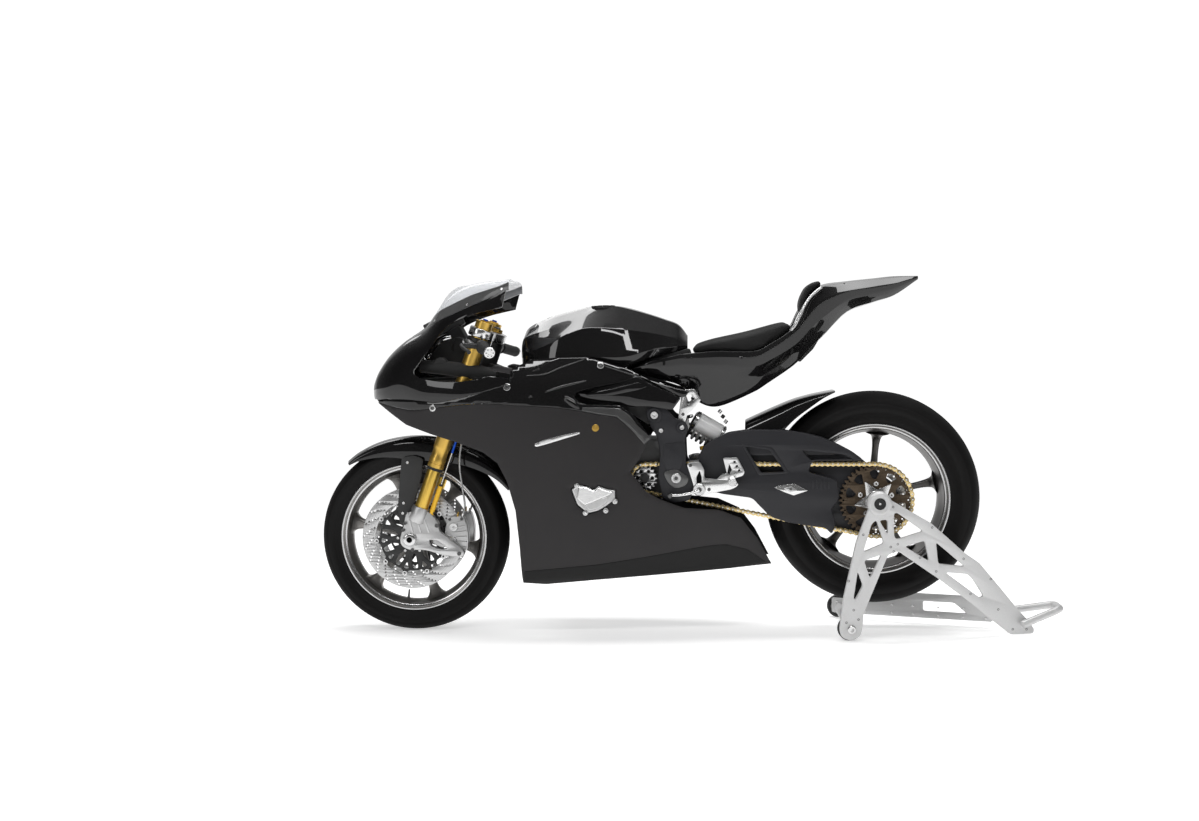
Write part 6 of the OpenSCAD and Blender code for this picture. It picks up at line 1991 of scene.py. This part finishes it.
    def bars(self) -> None:
        """Clip-ons: a clamp ring on each leg, the bar, the ribbed grip and the drilled end weight."""
        way = np.array(self.bar_end) - np.array(self.bar_root)
        length = np.linalg.norm(way)
        place = facing(self.bar_root, way)
        shape = Shape("clip_on_bars")
        shape.add(lathe([[27, 638], [34, 638], [36, 640], [36, 664], [34, 666], [27, 666]], 56), self.leg(), both=True)
        shape.add(rod(11, 0.06 * length, 0.985 * length, 32), place, both=True)
        shape.add(tube([self.along_bar(0.02), self.along_bar(0.12), self.along_bar(0.2)], [17, 15, 12], 20, 4),
                  both=True)
        shape.add(rod(4.4, -24, 24, 16), facing(np.array(self.bar_root) + [34, 10, -16], (0.35, 0.1, 1)), 1, both=True)
        shape.build(Body.STEERING, [SATIN_BLACK, STEEL_BRIGHT], ["handlebars"], "black_alloy", crease=35)
        grip = Shape("grips_ribbed")
        s0, s1 = 0.42 * length, 0.955 * length
        profile = [[11, s0], [20, s0], [21, s0 + 2], [21, s0 + 5], [17.5, s0 + 8]]
        for k in range(24):
            z = s0 + 10 + (s1 - s0 - 18) * k / 24
            profile += [[16.9, z], [16.9, z + 2.4], [15.9, z + 2.9], [15.9, z + 3.9]]
        profile += [[17.4, s1 - 5], [17.4, s1 - 1], [16.4, s1], [11, s1]]
        grip.add(lathe(profile, 36), place, both=True)
        grip.build(Body.STEERING, [GRIP_RUBBER], ["grips"], "rubber_black", crease=40)
        ends = Shape("bar_end_weights")
        ends.add(lathe([[0.5, s1 + 0.4], [15.8, s1 + 0.4], [16.6, s1 + 1.4], [16.6, length - 1.6], [15.4, length],
                        [6, length], [5, length - 2],
                        [0.5, length - 2]], 40, False), place, both=True)
        for k in range(6):
            t = k * math.pi / 3
            ends.add(rod(2.0, length - 2, length + 0.2, 12, 0.3),
                     place @ move(10.6 * math.cos(t), 10.6 * math.sin(t), 0), 1, both=True)
        ends.build(Body.STEERING, [SILVER_MACHINED, FLAT_BLACK], slot="silver_alloy", crease=35)

    def controls(self) -> None:
        """Levers on their perches, master cylinders, switches and their lines."""
        p = self.along_bar
        shape = Shape("levers_and_masters")
        shape.add(tube([p(0.25), p(0.39)], 18, 24, 1), both=True)
        shape.add(tube([p(0.30) + [-8, 0, 0], p(0.33) + [-34, -2, 3], p(0.36) + [-60, -6, 6]], [9, 8.4, 7.4], 16, 6),
                  both=True)
        shape.add(tube([p(0.36) + [-62, -4, 6], p(0.48) + [-66, 0, 4], p(0.62) + [-60, 0, 0], p(0.76) + [-54, 0, -2],
                        p(0.87) + [-58, 0, -1]],
                       [6.4, 5.2, 5.0, 4.6, 6.4], 14, 8), both=True)
        shape.add(tube([p(0.34) + [-30, 4, 4], p(0.18) + [-34, 8, 8], p(0.02) + [-36, 12, 10]], [9, 9, 7.6], 18, 6),
                  finish=1, both=True)
        shape.add(rod(3.2, -12, 14, 12), facing(p(0.36) + [-56, -6, 6], (0, 0, 1)), 1, both=True)
        shape.build(Body.STEERING, [SATIN_BLACK, SILVER_CAST], ["levers"], "black_alloy", crease=40)
        more = Shape("cockpit_lines")
        more.add(tube([p(0.02) + [-36, 12, 10], (150, -80, 930), (130, -50, 905), (140, -30, 860), (180, -40, 810)],
                      3.2, 12, 8), both=True)
        more.add(tube([p(0.3) + [6, 0, 12], p(0.12) + [0, 10, 26], (190, -60, 930), (160, -34, 900), (190, -20, 830)],
                      2.6, 10, 8),
                 both=True)
        more.add(tube([(226, -150, 902), (236, -120, 926), (220, -80, 930), (180, -54, 880)], 2.2, 10, 8), finish=1,
                 both=True)
        more.build(Body.STEERING, [FLAT_BLACK, BRAID], slot="rubber_black", crease=60)

    def build(self) -> None:
        """Builds the front end."""
        self.tubes()
        self.feet()
        self.calipers()
        self.fender()
        self.gear()
        self.clamps()
        self.bars()
        self.controls()


# ---- frame and rear suspension -----------------------------------------------------------------
@dataclass
class Chassis:
    """Pivot plates, swingarm, shock, foot controls and the parts seen between the panels."""

    pivot: tuple = (825.0, 500.0)

    def pivot_plates(self) -> None:
        """The plates with their star-headed bolts and the three-cornered cap over the pivot."""
        shape = Shape("pivot_plates_machined")
        outline = [(745, 702), (760, 716), (786, 718), (803, 713), (833, 678), (862, 672), (876, 650), (864, 616),
                   (867, 535), (894, 507),
                   (888, 464), (878, 428), (828, 420), (795, 434), (781, 500), (789, 570), (779, 624), (758, 656)]
        shape.add(plate(rounded(outline, 10, 5), 160.5, 184.5, 3.0), on_side(), both=True)
        inner = [(800, 600), (858, 608), (858, 545), (846, 520), (806, 522), (796, 560)]
        shape.add(plate(rounded(inner, 8, 4), 183, 187, 1.4), on_side(), both=True)
        shape.add(rod(10, -160, 160, 24), on_side(855, 0, 651), 1)
        for x, z, r in ((771, 689, 20), (855, 651, 15)):
            shape.add(lathe([[r - 5, 183], [r, 183], [r + 3, 185], [r + 3, 188], [r + 1, 189.5], [r - 5, 189.5]], 40),
                      on_side(x, 0, z), both=True)
            shape.add(star_bolt(r - 8, 8), on_side(x, -184, z), 3, both=True)
        shape.add(star_bolt(7, 5), on_side(791, -184, 642), 3, both=True)
        corner = [(796, 516), (836, 526), (878, 498), (866, 472), (834, 464), (812, 480)]
        shape.add(plate(rounded(corner, 14, 6), 184, 190, 2.2), on_side(), 2, both=True)
        shape.add(lathe([[3, 189], [15, 189], [16, 190.5], [14, 193], [9, 193], [8, 190.5], [3, 190.5]], 36),
                  on_side(836, 0, 496), 3, both=True)
        shape.add(star_bolt(6, 4), on_side(836, -190, 496), 1, both=True)
        shape.build(Body.CHASSIS, [ARM_BLACK, STEEL_DARK, STEEL_DARK, SILVER_MACHINED], ["pivot_plates"], "frame_black",
                    crease=32)

    def swingarm(self) -> None:
        """The arm: an outer wall with two windows, ribs round the chain, an inner plate and the hub."""
        shape = Shape("swingarm_machined")
        outer = [(905, 462), (905, 560), (925, 597), (960, 618), (996, 633), (1054, 641), (1110, 642), (1170, 639),
                 (1225, 632), (1273, 620),
                 (1330, 597), (1372, 574), (1404, 550), (1396, 545), (1252, 545), (1238, 512), (1326, 488), (1333, 428),
                 (1308, 400),
                 (1322, 352), (1310, 319), (1291, 340), (1240, 346), (1180, 356), (1128, 372), (1094, 404), (1068, 432),
                 (980, 444)]
        windows = [rounded([(1047, 591), (1121, 580), (1167, 513), (1096, 510)], 7, 5),
                   rounded([(1222, 577), (1345, 564), (1372, 552), (1246, 549)], 5, 5)]
        shape.add(plate(rounded(outer, 12, 5), 138.5, 157.5, 4.5, windows), on_side())
        lip = [rounded([(1036, 600), (1130, 587), (1182, 508), (1088, 501)], 8, 5)]
        shape.add(plate(lip[0], 156.5, 159, 1.0, [rounded([(1047, 591), (1121, 580), (1167, 513), (1096, 510)], 7, 5)]),
                  on_side())
        shape.add(plate(rounded([(912, 562), (925, 597), (996, 633), (1054, 641), (1170, 639), (1273, 620), (1330, 597),
                                 (1320, 562)], 8, 4),
                        112, 140, 1.5), on_side())
        shape.add(plate(rounded([(912, 503), (912, 464), (1060, 446), (1230, 420), (1290, 430), (1232, 503)], 8, 4),
                        112, 140, 1.5), on_side())
        inner = [(905, 462), (905, 560), (925, 597), (996, 633), (1054, 641), (1170, 640), (1273, 620), (1400, 552),
                 (1500, 470), (1504, 372),
                 (1400, 314), (1310, 340), (1291, 352), (1130, 362), (1068, 432)]
        shape.add(plate(rounded(inner, 12, 5), 104, 112, 2.0, [circle(1446, 422, 34, 64)]), on_side())
        shape.add(lathe([[31, 70], [70, 70], [74, 74], [74, 106], [72, 113], [40, 114], [31, 113]], 72), ON_REAR)
        shape.add(plate(rounded([(1290, 470), (1384, 480), (1384, 362), (1290, 380)], 12, 4), 72, 105, 2.0), on_side())
        box = [(862, 470), (862, 530), (930, 536), (1085, 541), (1092, 470), (1000, 442), (930, 450)]
        shape.add(plate(rounded(box, 10, 4), -70, 104, 3.0), on_side())
        shape.add(rod(28, -110, 110, 48, 1.0), on_side(825, 0, 500))
        shape.add(rod(12, -184, 184, 32), on_side(825, 0, 500), 1)
        shape.add(plate(rounded([(975, 532), (982, 580), (1018, 580), (1030, 532)], 8, 4), 20, 31, 1.2), on_side(),
                  both=True)
        for k in range(5):
            x = 1250 + 12 * k
            slit = [(x, 494 - 2 * k), (x + 5, 493 - 2 * k), (x + 5, 460), (x, 460)]
            shape.add(plate(slit, 157, 159, 0.6), on_side())
        shape.build(Body.CHASSIS, [ARM_BLACK, STEEL_BRIGHT], ["swingarm"], "black_alloy", crease=34)
        # A silver lozenge with an inner plate and a bolt on the arm's outer wall.
        silver_lozenge = Shape("swingarm_lozenge")
        silver_lozenge.add(plate(rounded([(1134, 465), (1178, 476), (1200, 475), (1238, 455), (1194, 440), (1166, 450)], 3, 4),
                        157, 161, 1.2), on_side())
        silver_lozenge.add(plate(rounded([(1163, 462), (1186, 469), (1206, 456), (1184, 450)], 2, 3), 160, 163, 0.9), on_side(),
                  1)
        silver_lozenge.add(star_bolt(4.2, 3), on_side(1185, -162.5, 460), 2)
        silver_lozenge.build(Body.CHASSIS, [SILVER_MACHINED, SILVER_CAST, STEEL_DARK], slot="silver_alloy", crease=25)

    def hugger(self) -> None:
        """The rear guard: arched sections that rise to a fin behind."""
        stations = ((1052, 666, 556), (1100, 688, 578), (1150, 710, 618), (1200, 730, 668), (1250, 744, 706),
                    (1290, 752, 734),
                    (1326, 758, 752))
        rows = []
        for x, high, low in stations:
            row = []
            for v, up in ((-100, 0.0), (-99, 0.35), (-94, 0.7), (-78, 0.92), (-45, 0.99), (-15, 1.0), (20, 0.99),
                          (50, 0.9), (66, 0.68), (70, 0.35),
                          (70, 0.0)):
                row.append((x, v * (1 if x < 1300 else 0.93), low + (high - low) * up))
            rows.append(row)
        net = np.array(rows, float)
        net = np.stack([smooth(net[:, j], 7) for j in range(net.shape[1])], 1)
        net = np.stack([smooth(row, 5) for row in net], 0)
        shape = Shape("rear_hugger_gloss")
        shape.add(grid(net))
        shape.build(Body.CHASSIS, [GLOSS_BLACK], ["hugger"], "gloss_carbon", crease=50, wall=-2.6, bevel=0.4,
                    outward=False)

    def shock(self) -> None:
        """The shock: a white spring round a body, its eyes, a small reservoir and adjusters."""
        a, b = np.array([872.0, 0, 641.0]), np.array([986.0, 0, 574.3])
        d = b - a
        length = np.linalg.norm(d)
        place = facing(a, d)
        shape = Shape("rear_shock_coil")
        t = np.linspace(0, 1, 181)
        turns = 5.5 * 2 * np.pi * t
        helix = np.stack([23.5 * np.cos(turns), 23.5 * np.sin(turns), 14 + (length - 44) * t], -1)
        helix = helix @ place[:3, :3].T + place[:3, 3]
        shape.add(tube(helix, 4.6, 12, 1), finish=0)
        shape.add(lathe([[0.5, -4], [17, -4], [17, 60], [11, 62], [11, length - 10], [0.5, length - 10]], 36, False),
                  place, 1)
        shape.add(lathe([[12, 4], [28, 4], [30, 6], [30, 11], [28, 13], [12, 13]], 48), place, 2)
        shape.add(lathe([[10, length - 34], [26, length - 34], [28, length - 32], [28, length - 26], [10, length - 24]],
                        48), place, 2)
        shape.add(lathe([[10.2, -18], [20, -18], [20, 18], [10.2, 18]], 36), on_side(855, 0, 651), 1)
        shape.add(lathe([[8.2, -18], [16, -18], [16, 18], [8.2, 18]], 36), on_side(1000, 0, 566), 1)
        shape.add(rod(30, -38, 44, 48, 3.0), facing((934, -62, 645), d), 0)
        shape.add(lathe([[20, 44], [31, 44], [31, 50], [26, 54], [10, 54], [10, 60], [0.5, 60]], 40, False),
                  facing((934, -62, 645), d), 1)
        shape.add(lathe([[0.5, -54], [22, -54], [30, -48], [31, -38], [20, -38]], 40, False),
                  facing((934, -62, 645), d), 1)
        shape.add(rod(9, 18, 30, 20), facing((912, -62, 604), (0.2, 0, -1)), 3)
        for k in range(3):
            shape.add(rod(6, 0, 12, 16), facing((968 + 9 * k, -70, 690 - 16 * k), (0.5, 0, 0.6)), 2 if k % 2 else 1)
        shape.add(tube([(884, -62, 680), (872, -40, 676), (862, -10, 664)], 6, 14, 6), finish=1)
        shape.build(Body.CHASSIS, [WHITE_PAINT, SILVER_MACHINED, SATIN_BLACK, YELLOW], ["rear_shock"], "shock_white",
                    crease=40)

    def foot_controls(self) -> None:
        """Silver foot brackets, a pierced upper ear, the peg, the lever and its rod."""
        shape = Shape("rearsets_pierced")
        bracket = [(868, 540), (884, 546), (908, 548), (922, 524), (922, 496), (955, 494), (1016, 492), (1028, 476),
                   (1008, 463), (936, 449),
                   (914, 443), (894, 458), (884, 492), (874, 524)]
        holes = [rounded([(898, 500), (908, 520), (914, 500), (914, 484), (900, 480)], 4, 4)]
        shape.add(plate(rounded(bracket, 9, 5), 185.5, 194.5, 1.8, holes), on_side(), both=True)
        ear = [(979, 558), (1022, 560), (1045, 516), (1040, 504), (994, 490), (958, 492), (974, 507), (990, 512),
               (986, 530)]
        pierced = [circle(1014, 546, 3.6, 14), circle(1021, 533, 3.6, 14), circle(1028, 520, 3.6, 14),
                   rounded([(998, 540), (1006, 522), (998, 506), (992, 514)], 3, 4)]
        shape.add(plate(rounded(ear, 6, 5), 188, 195, 1.4, pierced), on_side(), both=True)
        shape.add(lathe([[5, 194], [17, 194], [19, 196], [19, 199], [17, 201], [5, 201]], 40), on_side(906, 0, 462),
                  both=True)
        shape.add(star_bolt(8, 4), on_side(906, -200, 462), 1, both=True)
        for k in range(9):
            shape.add(lathe([[6, 0], [11.5, 0], [12.5, 1.2], [12.5, 4.6], [11.5, 5.8], [6, 5.8]], 28),
                      on_side(1006, -196 - 7.6 * k, 490), both=True)
        shape.add(rod(8.5, 185, 266, 24), on_side(1006, 0, 490), both=True)
        shape.add(tube([(906, -204, 462), (880, -206, 452), (846, -207, 446), (818, -206, 446)], [6, 5, 4.6, 5.6], 14,
                       6), both=True)
        shape.add(rod(6.5, 202, 236, 20), on_side(818, 0, 446), 1, both=True)
        bolts(shape, [(880, 536, 194.5), (936, 462, 194.5), (1014, 478, 194.5)], on_side(), 5, 3.4, 1, both=True)
        shape.build(Body.CHASSIS, [SILVER_MACHINED, STEEL_DARK], ["rearsets"], "silver_alloy", crease=32)

    def tail_brackets(self) -> None:
        """The silver tabs that carry the tail."""
        shape = Shape("tail_tabs")
        outline = [(840, 652), (846, 700), (856, 764), (894, 768), (914, 734), (890, 706), (872, 690), (860, 652)]
        shape.add(plate(rounded(outline, 6, 4), 150.5, 159.5, 1.4,
                        [rounded([(862, 744), (888, 752), (896, 736), (872, 716)], 5, 4)]), on_side(),
                  both=True)
        bolts(shape, [(884, 728, 159.5), (858, 690, 159.5)], on_side(), 5, 3, 1, both=True)
        shape.add(rod(8, -152, 152, 24), on_side(892, 0, 748))
        shape.build(Body.CHASSIS, [SILVER_MACHINED, STEEL_DARK], ["tail_brackets"], "silver_alloy", crease=32)

    def rear_brake(self) -> None:
        """The small rear caliper."""
        shape = Shape("rear_caliper_small")
        outline = rounded([(1310, 392), (1310, 470), (1370, 476), (1376, 386)], 8, 5)
        shape.add(plate(outline, 64.6, 69.6, 1.0), on_side())
        shape.add(plate(outline, 44.4, 54.4, 1.6), on_side())
        shape.add(plate(rounded([(1310, 400), (1310, 460), (1332, 462), (1332, 398)], 4, 3), 45, 69, 1.0), on_side())
        bolts(shape, [(1322, 408, 0), (1322, 456, 0)], on_side(0, -44.4, 0) @ turn("X", 180) @ np.diag([1.0, -1, 1, 1]),
              4, 3, 1)
        shape.build(Body.CHASSIS, [SILVER_CAST, STEEL_DARK], ["rear_caliper"], "black_alloy", crease=35)

    def radiator(self) -> None:
        """The cooler: a block of thin fins with cross bars."""
        shape = Shape("radiator_fins")
        place = move(405, 0, 535) @ turn("Y", -10) @ on_side()
        for k in range(60):
            y = -146 + 292 * k / 59
            shape.add(plate([(-17.6, -88), (17.6, -88), (17.6, 88), (-17.6, 88)], y - 0.6, y + 0.6, 0.2), place)
        for k in range(12):
            z = -84 + 168 * k / 11
            shape.add(plate([(-17, z - 1.2), (17, z - 1.2), (17, z + 1.2), (-17, z + 1.2)], -149, 149, 0.3), place, 1)
        shape.build(Body.CHASSIS, [CORE_BLACK, SATIN_BLACK], slot="black_alloy", crease=30)

    def build(self) -> None:
        """Builds the chassis parts."""
        self.pivot_plates()
        self.swingarm()
        self.hugger()
        self.shock()
        self.foot_controls()
        self.tail_brackets()
        self.rear_brake()
        self.radiator()


def main() -> None:
    """Builds the sub-assemblies in order."""
    logging.basicConfig(level=logging.INFO, format="%(message)s")
    Studio().build()
    dress_frame_nodes()
    FrontWheel("front", Body.FRONT_WHEEL, FRONT_AXLE, 300, 120, 101, 47.5, 6, 48, RIM_FRONT, RIM_LIP).build()
    RearWheel("rear", Body.REAR_WHEEL, REAR_AXLE, 332, 200, 164, 78, 5, 13, RIM_REAR, RIM_LIP_REAR).build()
    Drive().build()
    PaddockStand().build()
    Fairing().build()
    Nose().build()
    Cockpit().build()
    Tank().build()
    Tail().build()
    FrontEnd().build()
    Chassis().build()


if __name__ == "__main__":
    main()
